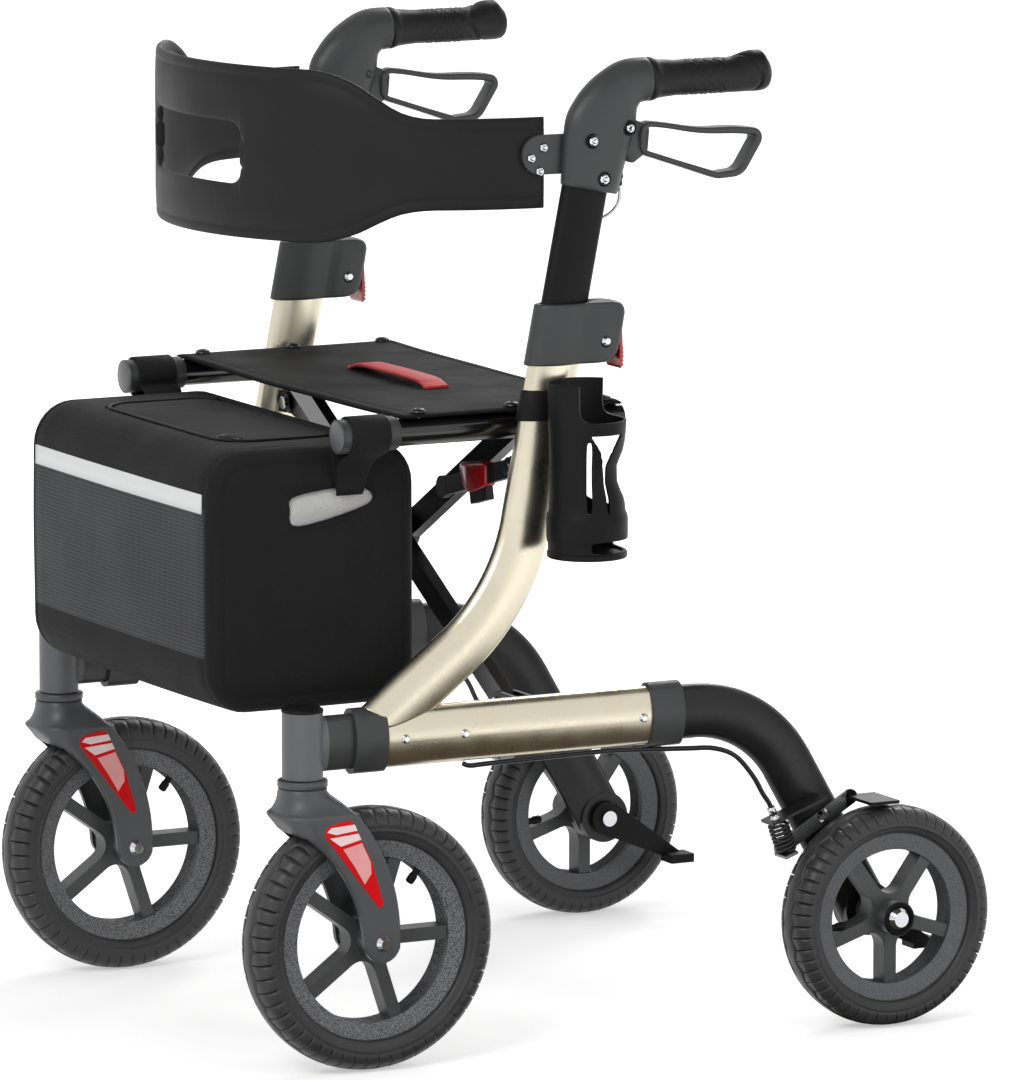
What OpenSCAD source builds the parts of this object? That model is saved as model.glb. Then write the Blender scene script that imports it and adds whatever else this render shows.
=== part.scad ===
// All terrain rollator: two side frames on a cross-wise folding scissor, sling seat,
// height-adjustable handles with loop brakes, swivelling front wheels and a front bag.
// Front is -Y, the user's left is +X, +Z is up and the floor is z = 0. Millimetres.

/* [Side frames] */
// Half the distance between the two side frames
frame_x = 276; // [262:1:300]
// Height of the lower rail's axis
rail_z = 317.5; // [310:0.5:324]
// Lower rail section, tall axis
rail_h = 57; // [50:1:62]
// Lower rail section, wide axis
rail_w = 30; // [26:1:32]
// Front end of the lower rail
rail_front_y = -262; // [-272:1:-256]
// Rear end of the lower rail
rail_rear_y = 56; // [46:1:64]
// Wall of all oval tubes
tube_wall = 2; // [1.6:0.1:2.4]
// Length of the two joint collars
collar_len = 34; // [26:1:40]
// Wall of the joint collars
collar_wall = 3; // [2:0.25:4]

/* [Uprights and handles] */
// Backward lean of upright, handle tube and clamp
lean = 11.2; // [9:0.2:13]
// Upright section along the frame
upright_h = 52; // [48:1:54]
// Upright section across the frame
upright_w = 27; // [26:0.5:29]
// Rise angle of the upright's foot
foot_angle = 38; // [34:1:44]
// Bend radius of the upright
upright_bend_r = 205; // [170:5:230]
// Height where the upright's bend ends
upright_bend_z = 515; // [495:5:530]
// Height of the upright's open top
upright_top_z = 698; // [690:1:705]
// Lower end of the sliding handle tube
handle_tube_z = 625; // [612:1:640]
// Height of the casting's lower edge
elbow_z = 830; // [815:1:850]
// Height of the handle grip's axis
grip_z = 931; // [915:1:950]
// Diameter of the grip's body
grip_d = 34; // [30:1:36]
// Length of the grip
grip_len = 131; // [115:1:140]

/* [Wheels] */
// Front wheel diameter
front_d = 254; // [244:1:258]
// Rear wheel diameter
rear_d = 217; // [206:1:220]
// Tyre width
tyre_w = 50; // [44:1:50]
// Distance of the rear wheel's middle from its side frame
rear_wheel_x = 43; // [42:0.5:48]
// Position of the caster's swivel axis
caster_y = -328; // [-334:1:-324]
// Trail of the front wheel behind the swivel axis
trail = 67.5; // [62:0.5:72]
// Axle bolt diameter
axle_d = 10; // [8:0.5:12]

/* [Folding scissor] */
// Half the distance between the seat rails
rail_x = 237.6; // [232:0.2:239]
// Height of the seat rails' axes
seat_rail_z = 602.4; // [598:0.2:607]
// Height of the scissor's lower pivots
low_pivot_z = 333.6; // [331:0.2:337]
// Seat rail tube diameter
seat_rail_d = 26; // [24:0.5:27]
// Height of the scissor arm's flat tube
arm_h = 24; // [20:1:26]
// Thickness of the scissor arm's flat tube
arm_t = 12; // [10:0.5:13]
// Pivot pin diameter
pin_d = 8; // [6:0.5:9]
// Distance from the scissor's middle to the stay's stud
stay_reach = 115; // [112:1:118]

/* [Soft parts] */
// Depth of the sling seat, front to back
seat_depth = 235; // [215:1:245]
// Thickness of the seat sling
seat_t = 5; // [3:0.5:6]
// Radius of the backrest band's curve
back_r = 264; // [258:1:264]
// Thickness of the backrest band
back_t = 6; // [4:0.5:6.5]
// Half the width of the bag
bag_x = 205; // [190:1:212]
// Depth of the bag, front to back
bag_depth = 218; // [200:1:225]
// Height of the bag
bag_h = 252; // [230:1:256]
// Wall of the bag
bag_wall = 4; // [3:0.5:5]

/* [Cup holder] */
// Inner radius of the cup holder
cup_r = 35; // [32:0.5:37]
// Height of the base ring
cup_ring_h = 22; // [18:1:28]

/* [Hidden] */

$fn = 64;
GOLD = "#b5a67c";
BLACK = "#1d1d1f";
GREY = "#4c4c4e";
RED = "#c8242c";
CHROME = "#c9cbce";

running = 0.05;
gap = 0.3;
slide_gap = 0.25;
tiny = 0.02;

// Oval tube sections: end radius as a share of the short axis
end_share = 0.72;
// How far the end arcs stand proud where they meet the flat arcs
seam = 0.06;
// Straight tube lengths stand proud of the bends by a hair and reach a little into them
proud = 0.15;
lap = 1;

// Handle axis, a straight line in the side frame's plane
axis_y0 = -28.5;
axis_z0 = 829;
function axis_y(z) = axis_y0 + (z - axis_z0) * tan(lean);
axis_heading = 90 - lean;

// Upright path: foot line, bend, then the handle axis
bend_end = [axis_y(upright_bend_z), upright_bend_z];
bend_c = bend_end + upright_bend_r * [-sin(axis_heading), cos(axis_heading)];
bend_start = bend_c + upright_bend_r * [sin(foot_angle), -cos(foot_angle)];
foot_len = (bend_start[1] - rail_z) / sin(foot_angle);
foot = bend_start - foot_len * [cos(foot_angle), sin(foot_angle)];

// Rear leg path: straight on from the rail, a bend, then down to the axle
leg_h = rail_h - 2 * tube_wall - 2 * (proud + tiny);
leg_w = rail_w - 2 * tube_wall - 2 * (proud + tiny);
boss_w = leg_w + 1;
leg_bend_r = 120;
leg_slope = 60;
leg_bend_y = 90;
leg_bend_end = [leg_bend_y + leg_bend_r * sin(leg_slope),
                rail_z - leg_bend_r * (1 - cos(leg_slope))];
rear_axle_z = rear_d / 2;
leg_len = (leg_bend_end[1] - rear_axle_z) / sin(leg_slope);
rear_axle_y = leg_bend_end[0] + leg_len * cos(leg_slope);
leg_boss_r = 25;

// Caster
head_d = 39;
head_top_z = 351;
head_bottom_z = 286;
stem_d = 14;
stem_top_z = 338;
front_axle_z = front_d / 2;
front_axle_y = caster_y + trail;
fork_in = tyre_w / 2 + 3.5;
blade_t = 8;
fork_out = fork_in + blade_t;
outer_arc_c = [front_axle_y - 165.5, front_axle_z + 5.6];
outer_arc_r = 184;
inner_arc_c = [front_axle_y - 158.5, front_axle_z - 8.3];
inner_arc_r = 139.5;
crown_z = 268;
blade_end_r = 19;
reflector_t = 2.5;
axle_head_d = 16;
axle_head_t = 5;

// Wheels
front_rim_r = 97;
rear_rim_r = 83;
rim_open = 17;
rim_w = 34;
hub_r = 17;
front_hub_w = 2 * (fork_in - 1);
rear_hub_w = 56;
spoke_w = 13;
spoke_t = 22;
spokes = 5;

// Scissor
arm_gap = 2;
arm_y = -85;
arm_left_y = arm_y + (arm_t + arm_gap) / 2;
arm_right_y = arm_y - (arm_t + arm_gap) / 2;
cross_z = (seat_rail_z + low_pivot_z) / 2;
arm_angle = atan2(seat_rail_z - cross_z, rail_x);
arm_half = norm([rail_x, seat_rail_z - cross_z]);
arm_eye_r = 12;
seat_rail_front_y = -268;
seat_rail_rear_y = 30;
cap_d = 33;
cap_front_y = -272;
cap_rear_y = -214;
lug_t = 4;

// Locking stays between upright and arm
stay_t = 8;
stay_h = 18;
stay_eye_r = 11;
stay_pivot = [250, 563.3];
stay_stud = [stay_reach * cos(arm_angle), cross_z + stay_reach * sin(arm_angle)];
stay_len = norm(stay_stud - stay_pivot);
stay_angle = atan2(stay_stud[1] - stay_pivot[1], stay_pivot[0] - stay_stud[0]);
stay_left_y = arm_left_y - arm_t / 2 - gap - stay_t / 2;
stay_right_y = arm_right_y + arm_t / 2 + gap + stay_t / 2;
stud_d = 12;

// Cradle under each seat rail
cradle_y = [-69, -53];
cradle_drop = 9;

// Height clamp
clamp_wall = 5;
clamp_z = [664, 722];
clamp_boss_y = 6;
clamp_bolt = [-14, 685];
lever_pin = [0.5, 698];
lever_barrel_r = 5;
lever_w = 28;
lever_drop = 41;

// Handle casting and brake lever
elbow_rings = [
    // centre y, centre z, heading, half depth, half width
    [-23.5, elbow_z, 90 - lean, 30, 17],
    [-17.5, elbow_z + 35, 79, 34, 18],
    [-12, elbow_z + 60, 76, 36, 19],
    [-5.5, grip_z - 26, 70, 33, 19.5],
    [-0.5, grip_z - 17, 64, 29.5, 20],
    [7.5, grip_z - 9, 48, 25.5, 20],
    [20.5, grip_z - 1.5, 23, 22.5, 20.5],
    [36, grip_z, 0, 21, 21]
];
elbow_end_y = elbow_rings[7][0];
spigot_d = 22;
grip_y = elbow_end_y + 0.5;
grip_flange_d = 42;
lever_pivot = [11.7, grip_z - 44];
lever_pin_d = 8;
tongue_t = 10;
loop_w = 20;
loop_t = 6;
loop_in = [28, grip_z - 56];
lever_top = [150, grip_z - 60];
lever_low = [117, grip_z - 86];
backrest_plate = [-92, grip_z - 67.5];
plate_root = 24;
plate_t = 5;
plate_h = 38;
plate_len = 60;

// Brake at the rear wheel, on the outer side of the leg
brake_pivot = [226, 206];
bar_low = [180, 178];
bar_high = [256, 222];
bar_h = 15;
bar_t = 3;
bar_x = boss_w / 2 + gap;
shoe_gap = 4;
cable_x = 28;
spring_top = [168, 207];
spring_end = [179.3, 176];
spring_r = 9;
spring_wire = 2.4;
spring_turns = 7;
stop_t = 3;

// Brake cable below the lower rail: a route of hand-chosen points in the side frame's own x
cable_d = 5;
cable_route = [
    [0, -158, 286], [0, -150, 283.5], [0, -130, 284], [0, -60, 285], [0, 0, 285.5],
    [3, 40, 284], [10, 80, 283], [16, 105, 282], [22, 125, 274], [26, 142, 254],
    [28, 152, 236], [28, 159, 226], [28, 163, 217.6], [28, 166, 211.6]
];

// Seat
seat_front_y = -209;
seat_x = 250;
seat_z = seat_rail_z + seat_rail_d / 2 + gap;
strap_chord = 170;
strap_rise = 22;
strap_w = 26;
strap_t = 3;
strap_y = seat_front_y + seat_depth / 2 + 3;
seat_screws_y = [-186, -86, 13];
seat_screw_d = 6;

// Backrest band
back_y = -52;
back_end_y = -66;
plate_in = sqrt(pow(back_r + back_t / 2, 2) - pow(back_end_y - back_y, 2)) + gap - frame_x;
back_low = grip_z - 153;
back_high = grip_z + 13;
strap_low = grip_z - 119;
strap_high = grip_z - 32;
back_wide_y = -254;
back_narrow_y = -180;
slot_x = 92;
slot_z = [grip_z - 102, grip_z - 42];
slot_r = 16;

// Bag
bag_back_y = -172;
bag_bottom_z = 338;
bag_r = 38;
lid_x = 150;
lid_front = 44;
lid_back = 44;
lid_r = 36;
lid_t = 3;
tab_len = 40;
tab_t = 2.5;

// Cup holder on the left upright
cup_x = 335;
cup_y = -56;
cup_wall = 2.5;
cup_floor_z = 487;
cup_ring_z = 505;
cup_top_z = 653;
band_z = 612;
band_h = 30;
band_wall = 3;

// Sections and sweeps in the side frame's plane

// Four-arc oval: tall axis along Y
module oval(h, w) {
    a = h / 2;
    b = w / 2;
    r = end_share * b;
    big = (b * b + (a - r) * (a - r) - r * r) / (2 * (b - r));
    touch = (a - r) * big / (big - r);
    intersection() {
        translate([b - big, 0]) circle(big);
        translate([big - b, 0]) circle(big);
        square([2 * w, 2 * touch], center = true);
    }
    for (s = [-1, 1]) translate([0, s * (a - r - seam)]) circle(r + seam);
}

// Straight tube from point p, a given length along a heading in the Y-Z plane
module run(p, heading, len) {
    translate([0, p[0], p[1]]) rotate([heading - 90, 0, 0]) linear_extrude(len) children();
}

// Tube bend about centre c, from one polar angle through a sweep angle
module bend(c, r, from, sweep) {
    translate([0, c[0], c[1]]) rotate([90, 0, 90])
        rotate_extrude(angle = sweep, start = from) translate([r, 0]) rotate(90) children();
}

// Extrusion along X of a side-view outline drawn in (y, z)
module side_plate(x0, x1) {
    translate([x0, 0, 0]) rotate([90, 0, 90]) linear_extrude(x1 - x0) children();
}

// Round bar along X
module rod_x(p, d, x0, x1) {
    translate([x0, p[0], p[1]]) rotate([0, 90, 0]) cylinder(d = d, h = x1 - x0);
}

// Round bar along Y
module rod_y(p, d, y0, y1) {
    translate([p[0], y0, p[1]]) rotate([-90, 0, 0]) cylinder(d = d, h = y1 - y0);
}

// Closed skin over rings of points
module skin(rings) {
    n = len(rings[0]);
    last = len(rings) - 1;
    points = [for (ring = rings) each ring];
    sides = [for (i = [0:last - 1], k = [0:n - 1]) let (
        a = i * n + k,
        b = i * n + (k + 1) % n)
        each [[a, a + n, b + n], [a, b + n, b]]];
    foot_cap = [for (k = [1:n - 2]) [0, k, k + 1]];
    head_cap = [for (k = [1:n - 2]) [last * n, last * n + k + 1, last * n + k]];
    polyhedron(points, concat(sides, foot_cap, head_cap));
}

// Ring in the side plane: centre, heading, half depth in the plane, half width across it
function plane_ring(c, heading, a, b, n) = [for (k = [0:n - 1]) let (t = 360 * k / n)
    [b * sin(t), c[0] - sin(heading) * a * cos(t), c[1] + cos(heading) * a * cos(t)]];

// Ring round a point of a free path
function path_ring(c, d, r, n) = let (
    u = d / norm(d),
    v0 = cross(u, [1, 0, 0]),
    v = v0 / norm(v0),
    w = cross(u, v))
    [for (k = [0:n - 1]) c + r * (v * cos(360 * k / n) + w * sin(360 * k / n))];
function path_dir(p, i) = p[min(i + 1, len(p) - 1)] - p[max(i - 1, 0)];

// Catmull-Rom value at t between the middle two of four values
function spline(a, b, c, d, t) = 0.5 * (2 * b + (c - a) * t
    + (2 * a - 5 * b + 4 * c - d) * t * t + (3 * b - a - 3 * c + d) * t * t * t);
function refine(rows, steps) = let (n = len(rows))
    [for (i = [0:n - 2], s = [0:steps - 1])
        spline(rows[max(i - 1, 0)], rows[i], rows[i + 1], rows[min(i + 2, n - 1)], s / steps),
     rows[n - 1]];

// Left pieces are drawn as they are, right pieces are their mirror image
module on_side(s) {
    if (s > 0) children();
    else mirror([1, 0, 0]) children();
}
module on_frame(s) {
    on_side(s) translate([frame_x, 0, 0]) children();
}

// Side frame

module rail_outer() {
    run([rail_front_y, rail_z], 0, rail_rear_y - rail_front_y) oval(rail_h, rail_w);
}

top_len = (upright_top_z - upright_bend_z) / cos(lean);
foot_dir = [cos(foot_angle), sin(foot_angle)];
axis_dir = [cos(axis_heading), sin(axis_heading)];

module tube_section(h, w, grow) {
    difference() {
        oval(h + 2 * grow, w + 2 * grow);
        oval(h - 2 * tube_wall - 2 * grow, w - 2 * tube_wall - 2 * grow);
    }
}

module lower_rail(s) {
    color(GOLD) on_frame(s) difference() {
        rail_outer();
        run([rail_front_y - 1, rail_z], 0, rail_rear_y - rail_front_y + 2)
            oval(rail_h - 2 * tube_wall, rail_w - 2 * tube_wall);
        for (p = rail_screws) rod_x(p, screw_d, 0, rail_w);
        translate([0, cable_route[0][1], rail_z - rail_h]) cylinder(d = cable_d + 2, h = rail_h / 2);
    }
}

module upright(s) {
    color(GOLD) on_frame(s) {
        difference() {
            run(foot, foot_angle, foot_len + lap) tube_section(upright_h, upright_w, proud);
            run([rail_front_y, rail_z], 0, rail_rear_y - rail_front_y)
                offset(delta = weld_gap) oval(rail_h, rail_w, $fn = 128);
            run([rail_front_y - collar_len, rail_z], 0, 1.5 * collar_len + weld_gap)
                offset(delta = weld_gap) oval(rail_h + 2 * collar_wall, rail_w + 2 * collar_wall, $fn = 128);
        }
        bend(bend_c, upright_bend_r, foot_angle - 90, axis_heading - foot_angle)
            tube_section(upright_h, upright_w, 0);
        run(bend_end - lap * axis_dir, axis_heading, top_len + lap)
            tube_section(upright_h, upright_w, proud);
    }
}
weld_gap = 0.08;
upright_fit = proud + tiny;

// Collar over a rail end: wide bore on the rail's side, narrow bore on the other
module collar(y, other, h, w) {
    fit = proud + 2 * tiny;
    rail_side = other > 0 ? y - collar_len : y - tiny;
    other_side = other > 0 ? y - tiny : y - collar_len;
    difference() {
        run([y - collar_len / 2, rail_z], 0, collar_len)
            oval(rail_h + 2 * collar_wall, rail_w + 2 * collar_wall);
        run([rail_side, rail_z], 0, collar_len + tiny) oval(rail_h + 2 * fit, rail_w + 2 * fit);
        run([other_side, rail_z], 0, collar_len + tiny) oval(h + 2 * fit, w + 2 * fit);
    }
}

module rail_collars(s) {
    color(BLACK) on_frame(s) {
        collar(rail_front_y, -1, stub_h, stub_w);
        collar(rail_rear_y, 1, leg_h, leg_w);
    }
}

// Plug of a stub or leg inside the lower rail's end
plug_len = 40;
module rail_plug(y0, y1) {
    run([y0, rail_z], 0, y1 - y0)
        oval(rail_h - 2 * tube_wall - 2 * tiny, rail_w - 2 * tube_wall - 2 * tiny);
}

stub_h = 53;
stub_w = 26;
cap_rise = 5;
module caster_head(s) {
    color(GREY) on_frame(s) difference() {
        union() {
            translate([0, caster_y, head_bottom_z]) cylinder(d = head_d, h = head_top_z - head_bottom_z);
            translate([0, caster_y, head_top_z])
                cylinder(d1 = head_d, d2 = head_d - 4 * cap_rise, h = cap_rise);
            run([caster_y, rail_z], 0, rail_front_y - caster_y) oval(stub_h, stub_w);
            rail_plug(rail_front_y - plug_root, rail_front_y + plug_len);
        }
        for (p = rail_screws) rod_x(p, screw_d, 0, rail_w);
        translate([0, caster_y, head_bottom_z - 1])
            cylinder(d = stem_d + 2 * running, h = stem_top_z - head_bottom_z + 2);
    }
}

leg_dir = [cos(leg_slope), -sin(leg_slope)];
plug_root = 4;
module rear_leg(s) {
    axle = [rear_axle_y, rear_axle_z];
    color(BLACK) on_frame(s) {
        difference() {
            union() {
                run([rail_rear_y - plug_len, rail_z], 0, leg_bend_y - rail_rear_y + plug_len + lap)
                    tube_section(leg_h, leg_w, proud);
                bend([leg_bend_y, rail_z - leg_bend_r], leg_bend_r, 90, -leg_slope)
                    tube_section(leg_h, leg_w, 0);
                run(leg_bend_end - lap * leg_dir, -leg_slope, leg_len + lap) tube_section(leg_h, leg_w, proud);
                rod_x(axle, 2 * leg_boss_r + 2, -boss_w / 2, boss_w / 2);
                rod_x(brake_pivot, pin_d + 6, -boss_w / 2, boss_w / 2);
            }
            rod_x(axle, axle_d, -leg_w, leg_w);
            rod_x(brake_pivot, pin_d, -leg_w, leg_w);
            for (p = rail_screws) rod_x(p, screw_d, 0, rail_w);
        }
        cable_stop();
    }
}

// Folded plate that holds the end of the cable's housing above the spring
stop_w = 18;
stop_x = leg_w / 2 + proud + tiny;
module cable_stop() {
    translate([0, spring_top[0], spring_top[1]]) rotate([spring_tilt, 0, 0]) difference() {
        translate([stop_x, -stop_w / 2, 0.4]) cube([cable_x + stop_w / 2 - stop_x, stop_w + 45, stop_t]);
        translate([cable_x, 0, -1]) cylinder(d = 3, h = stop_t + 2);
    }
}
spring_tilt = atan2(spring_end[0] - spring_top[0], spring_top[1] - spring_end[1]);

pedal_t = 6;
pedal_tip = [358, 64];
pedal_pad = [24, 26, 9];
module curb_pedal(s) {
    x1 = -boss_w / 2 - tiny;
    color(BLACK) on_frame(s) difference() {
        union() {
            side_plate(x1 - pedal_t, x1) hull() {
                translate([rear_axle_y, rear_axle_z]) circle(17);
                translate(pedal_tip) circle(6);
            }
            translate([x1 - pedal_pad[0], pedal_tip[0] - pedal_pad[1] / 2, pedal_tip[1] - 6])
                cube(pedal_pad);
        }
        rod_x([rear_axle_y, rear_axle_z], axle_d, -leg_w, leg_w);
    }
}

// Brackets that carry the scissor: lower clevis, stay ears and rail cradle
ear_r = 12;
module ear(y0, y1, p, r, root_x) {
    translate([0, y0, 0]) difference() {
        union() {
            rod_y(p, 2 * r, 0, y1 - y0);
            translate([p[0], 0, p[1] - r]) cube([root_x - p[0], y1 - y0, 2 * r]);
        }
        rod_y(p, pin_d + 2 * tiny, -1, y1 - y0 + 1);
    }
}

module clevis(y, t, p, r, root_x) {
    for (e = [-1, 1]) {
        y0 = e > 0 ? y + t / 2 + gap : y - t / 2 - gap - lug_t;
        ear(y0, y0 + lug_t, p, r, root_x);
    }
}

module fold_brackets(s) {
    low_y = s > 0 ? arm_right_y : arm_left_y;
    stay_y = s > 0 ? stay_left_y : stay_right_y;
    cradle_bottom = seat_rail_z - seat_rail_d / 2 - cradle_drop;
    color(BLACK) on_side(s) {
        difference() {
            clevis(low_y, arm_t, [rail_x, low_pivot_z], ear_r, frame_x);
            translate([frame_x, 0, 0]) rail_outer();
        }
        difference() {
            union() {
                clevis(stay_y, stay_t, stay_pivot, stay_eye_r - 1, frame_x);
                translate([rail_x - seat_rail_d / 2, cradle_y[0], cradle_bottom])
                    cube([frame_x - rail_x + seat_rail_d / 2, cradle_y[1] - cradle_y[0], cradle_drop + 4]);
            }
            translate([frame_x, 0, 0]) run(bend_end, axis_heading, top_len)
                offset(delta = weld_gap + proud) oval(upright_h, upright_w, $fn = 96);
            rod_y([rail_x, seat_rail_z], seat_rail_d + 2 * gap, cradle_y[0] - 1, cradle_y[1] + 1);
        }
    }
}

// Screws, pins and the rear axle of one side frame
screw_d = 5;
screw_head_d = 8.5;
screw_head_t = 2.4;
rail_screws = [[-226, rail_z], [-163, rail_z], [29, rail_z]];
module dome(p, d, x0, t) {
    translate([x0, p[0], p[1]]) rotate([0, 90, 0]) cylinder(d1 = d, d2 = 0.6 * d, h = t);
}

module frame_fasteners(s) {
    low_y = s > 0 ? arm_right_y : arm_left_y;
    stay_y = s > 0 ? stay_left_y : stay_right_y;
    reach = arm_t / 2 + gap + lug_t;
    stay_pin = stay_t / 2 + gap + lug_t;
    color(CHROME) {
        on_frame(s) {
            for (p = rail_screws) {
                rod_x(p, screw_d - 2 * tiny, rail_w / 2 - 3 * tube_wall, rail_w / 2);
                dome(p, screw_head_d, rail_w / 2, screw_head_t);
            }
            rear_axle();
            brake_bolt();
            rod_x(clamp_bolt, 6, -clamp_half_w, clamp_half_w);
            for (e = [0, 1]) mirror([e, 0, 0]) dome(clamp_bolt, 10, clamp_half_w, 3);
        }
        on_side(s) {
            pivot_pin([rail_x, low_pivot_z], low_y, reach);
            pivot_pin(stay_pivot, stay_y, stay_pin);
        }
    }
}

module pivot_pin(p, y, reach) {
    rod_y(p, pin_d, y - reach, y + reach);
    for (e = [-1, 1])
        rod_y(p, pin_d + 5, y + e * (reach + 1.5) - 1.5, y + e * (reach + 1.5) + 1.5);
}

module rear_axle() {
    p = [rear_axle_y, rear_axle_z];
    inner = -boss_w / 2 - pedal_t - 2 * tiny;
    outer = rear_wheel_x + rear_hub_w / 2 + gap;
    rod_x(p, axle_d - 2 * tiny, inner, outer);
    rod_x(p, axle_head_d, inner - axle_head_t, inner);
    dome(p, 25, outer, axle_head_t);
    rod_x(p, axle_d + 6, boss_w / 2, rear_wheel_x - rear_hub_w / 2 - gap);
}

module brake_bolt() {
    rod_x(brake_pivot, pin_d - 2 * tiny, -boss_w / 2, bar_x + bar_t + gap);
    dome(brake_pivot, pin_d + 6, bar_x + bar_t + gap, 3.5);
}

// Height clamp at the top of the upright

clamp_half_w = upright_w / 2 + clamp_wall;
module clamp_body() {
    low = [axis_y(clamp_z[0]), clamp_z[0]];
    len = (clamp_z[1] - clamp_z[0]) / cos(lean);
    run(low, axis_heading, len) {
        oval(upright_h + 2 * clamp_wall, 2 * clamp_half_w);
        difference() {
            translate([0, clamp_boss_mid]) square([2 * boss_half_w, clamp_boss_len], center = true);
            translate([0, clamp_boss_mid + clamp_boss_len / 2]) square([2 * lever_slot, 14], center = true);
        }
    }
}
boss_half_w = clamp_half_w - 2;
lever_slot = lever_w / 2 + gap;
clamp_boss_len = 46;
clamp_boss_mid = upright_h / 2 + 14;

module height_clamp(s) {
    low = [axis_y(clamp_z[0]), clamp_z[0]];
    color(BLACK) on_frame(s) difference() {
        clamp_body();
        run(low - 2 * [cos(axis_heading), sin(axis_heading)], axis_heading,
            (upright_top_z - clamp_z[0]) / cos(lean) + 2 + gap)
            oval(upright_h + 2 * upright_fit, upright_w + 2 * upright_fit);
        run(low, axis_heading, 100) oval(handle_h + 2 * slide_gap, handle_w + 2 * slide_gap);
        rod_x(clamp_bolt, 6 + 2 * tiny, -clamp_half_w - 1, clamp_half_w + 1);
        for (e = [0, 1]) mirror([e, 0, 0]) rod_x(clamp_bolt, 12, boss_half_w, clamp_half_w + 1);
        rod_x(lever_pin, 2 * lever_barrel_r + 2 * gap, -lever_slot, lever_slot);
        rod_x(lever_pin, 4, -boss_half_w - 1, boss_half_w + 1);
    }
}

module height_lever(s) {
    color(RED) on_frame(s) {
        rod_x(lever_pin, 2 * lever_barrel_r, -lever_w / 2, lever_w / 2);
        rod_x(lever_pin, 4 - 2 * running, -boss_half_w, boss_half_w);
        translate([-lever_w / 2, lever_pin[0] + 2.5, lever_pin[1] - lever_drop])
            cube([lever_w, lever_barrel_r - 2.5, lever_drop]);
        for (k = [0:3])
            rod_x([lever_pin[0] + lever_barrel_r, lever_pin[1] - lever_drop + 3 + 4 * k], 2.4,
                -lever_w / 2, lever_w / 2);
    }
}

// Handles

handle_h = upright_h - 2 * tube_wall - 2 * slide_gap;
handle_w = upright_w - 2 * tube_wall - 2 * slide_gap;
module handle_tube(s) {
    len = (elbow_z + 20 - handle_tube_z) / cos(lean);
    color(BLACK) on_frame(s) run([axis_y(handle_tube_z), handle_tube_z], axis_heading, len) difference() {
        oval(handle_h, handle_w);
        oval(handle_h - 2 * tube_wall, handle_w - 2 * tube_wall);
    }
}

module handle_elbow(s) {
    rings = [for (r = refine(elbow_rings, 2)) plane_ring([r[0], r[1]], r[2], r[3], r[4], 28)];
    socket = [axis_y(elbow_z - 10), elbow_z - 10];
    color(GREY) on_frame(s) difference() {
        union() {
            skin(rings);
            translate([0, elbow_end_y - 6, grip_z]) rotate([-90, 0, 0])
                cylinder(d = spigot_d, h = grip_len - 12);
            side_plate(plate_in, plate_in + plate_t) {
                translate([backrest_plate[0] + plate_h / 2, backrest_plate[1]]) circle(d = plate_h);
                translate([backrest_plate[0] + plate_h / 2, backrest_plate[1] - plate_h / 2])
                    square([plate_len, plate_h]);
            }
            // Root of the plate inside the casting, long enough to reach it wherever the backrest's curve puts it
            side_plate(min(plate_in, 0), max(plate_in + plate_t, 0))
                translate([backrest_plate[0] + plate_h / 2 + plate_len - plate_root, backrest_plate[1] - plate_h / 2])
                    square([plate_root, plate_h]);
        }
        run(socket, axis_heading, 30 / cos(lean)) oval(handle_h + 2 * tiny, handle_w + 2 * tiny);
        translate([-tongue_t / 2 - gap, lever_pivot[0] - 14, lever_pivot[1] - 36])
            cube([tongue_t + 2 * gap, 60, 50]);
        rod_x(lever_pivot, lever_pin_d, -30, 30);
    }
}

module grip(s) {
    r = grip_d / 2;
    f = grip_flange_d / 2;
    palm = [6, grip_len - 14, r - 6];
    color(BLACK) on_frame(s) translate([0, grip_y, grip_z]) difference() {
        union() {
            rotate([-90, 0, 0]) rotate_extrude() polygon([
                [0, 0], [f, 0], [f, 5], [r + 1, 24], [r, 30], [r, grip_len - 6], [r - 4, grip_len], [0, grip_len]]);
            translate(palm) hull() {
                for (p = [[-10, -34, 1], [12, -26, 1], [12, 4, 5], [-12, 4, 5]])
                    translate(p) sphere(6, $fn = 24);
            }
        }
        rotate([-90, 0, 0]) translate([0, 0, -1]) cylinder(d = spigot_d + 2 * tiny, h = grip_len - 16);
    }
}

// Loop of the brake lever in side view
module loop_outline(inset) {
    hull() {
        translate([loop_in[0] + 12, loop_in[1] + 4]) circle(12 - inset, $fn = 32);
        translate([loop_in[0] + 12, loop_in[1] - 6]) circle(12 - inset, $fn = 32);
        translate(lever_top) circle(10 - inset, $fn = 32);
        translate(lever_low) circle(13 - inset, $fn = 32);
    }
}

module brake_lever(s) {
    color(BLACK) on_frame(s) {
        side_plate(-loop_w / 2, loop_w / 2) difference() {
            loop_outline(0);
            loop_outline(loop_t);
        }
        side_plate(-tongue_t / 2, tongue_t / 2) difference() {
            union() {
                translate(lever_pivot) circle(11);
                polygon([lever_pivot + [-2, -11], loop_in + [2, -14], loop_in + [4, 12], lever_pivot + [4, 10]]);
            }
            translate([loop_in[0] + 12, loop_in[1] + 4]) circle(10);
        }
        rod_x(lever_pivot, lever_pin_d - 2 * running, -19, 19);
    }
}

// Rear brake

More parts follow.
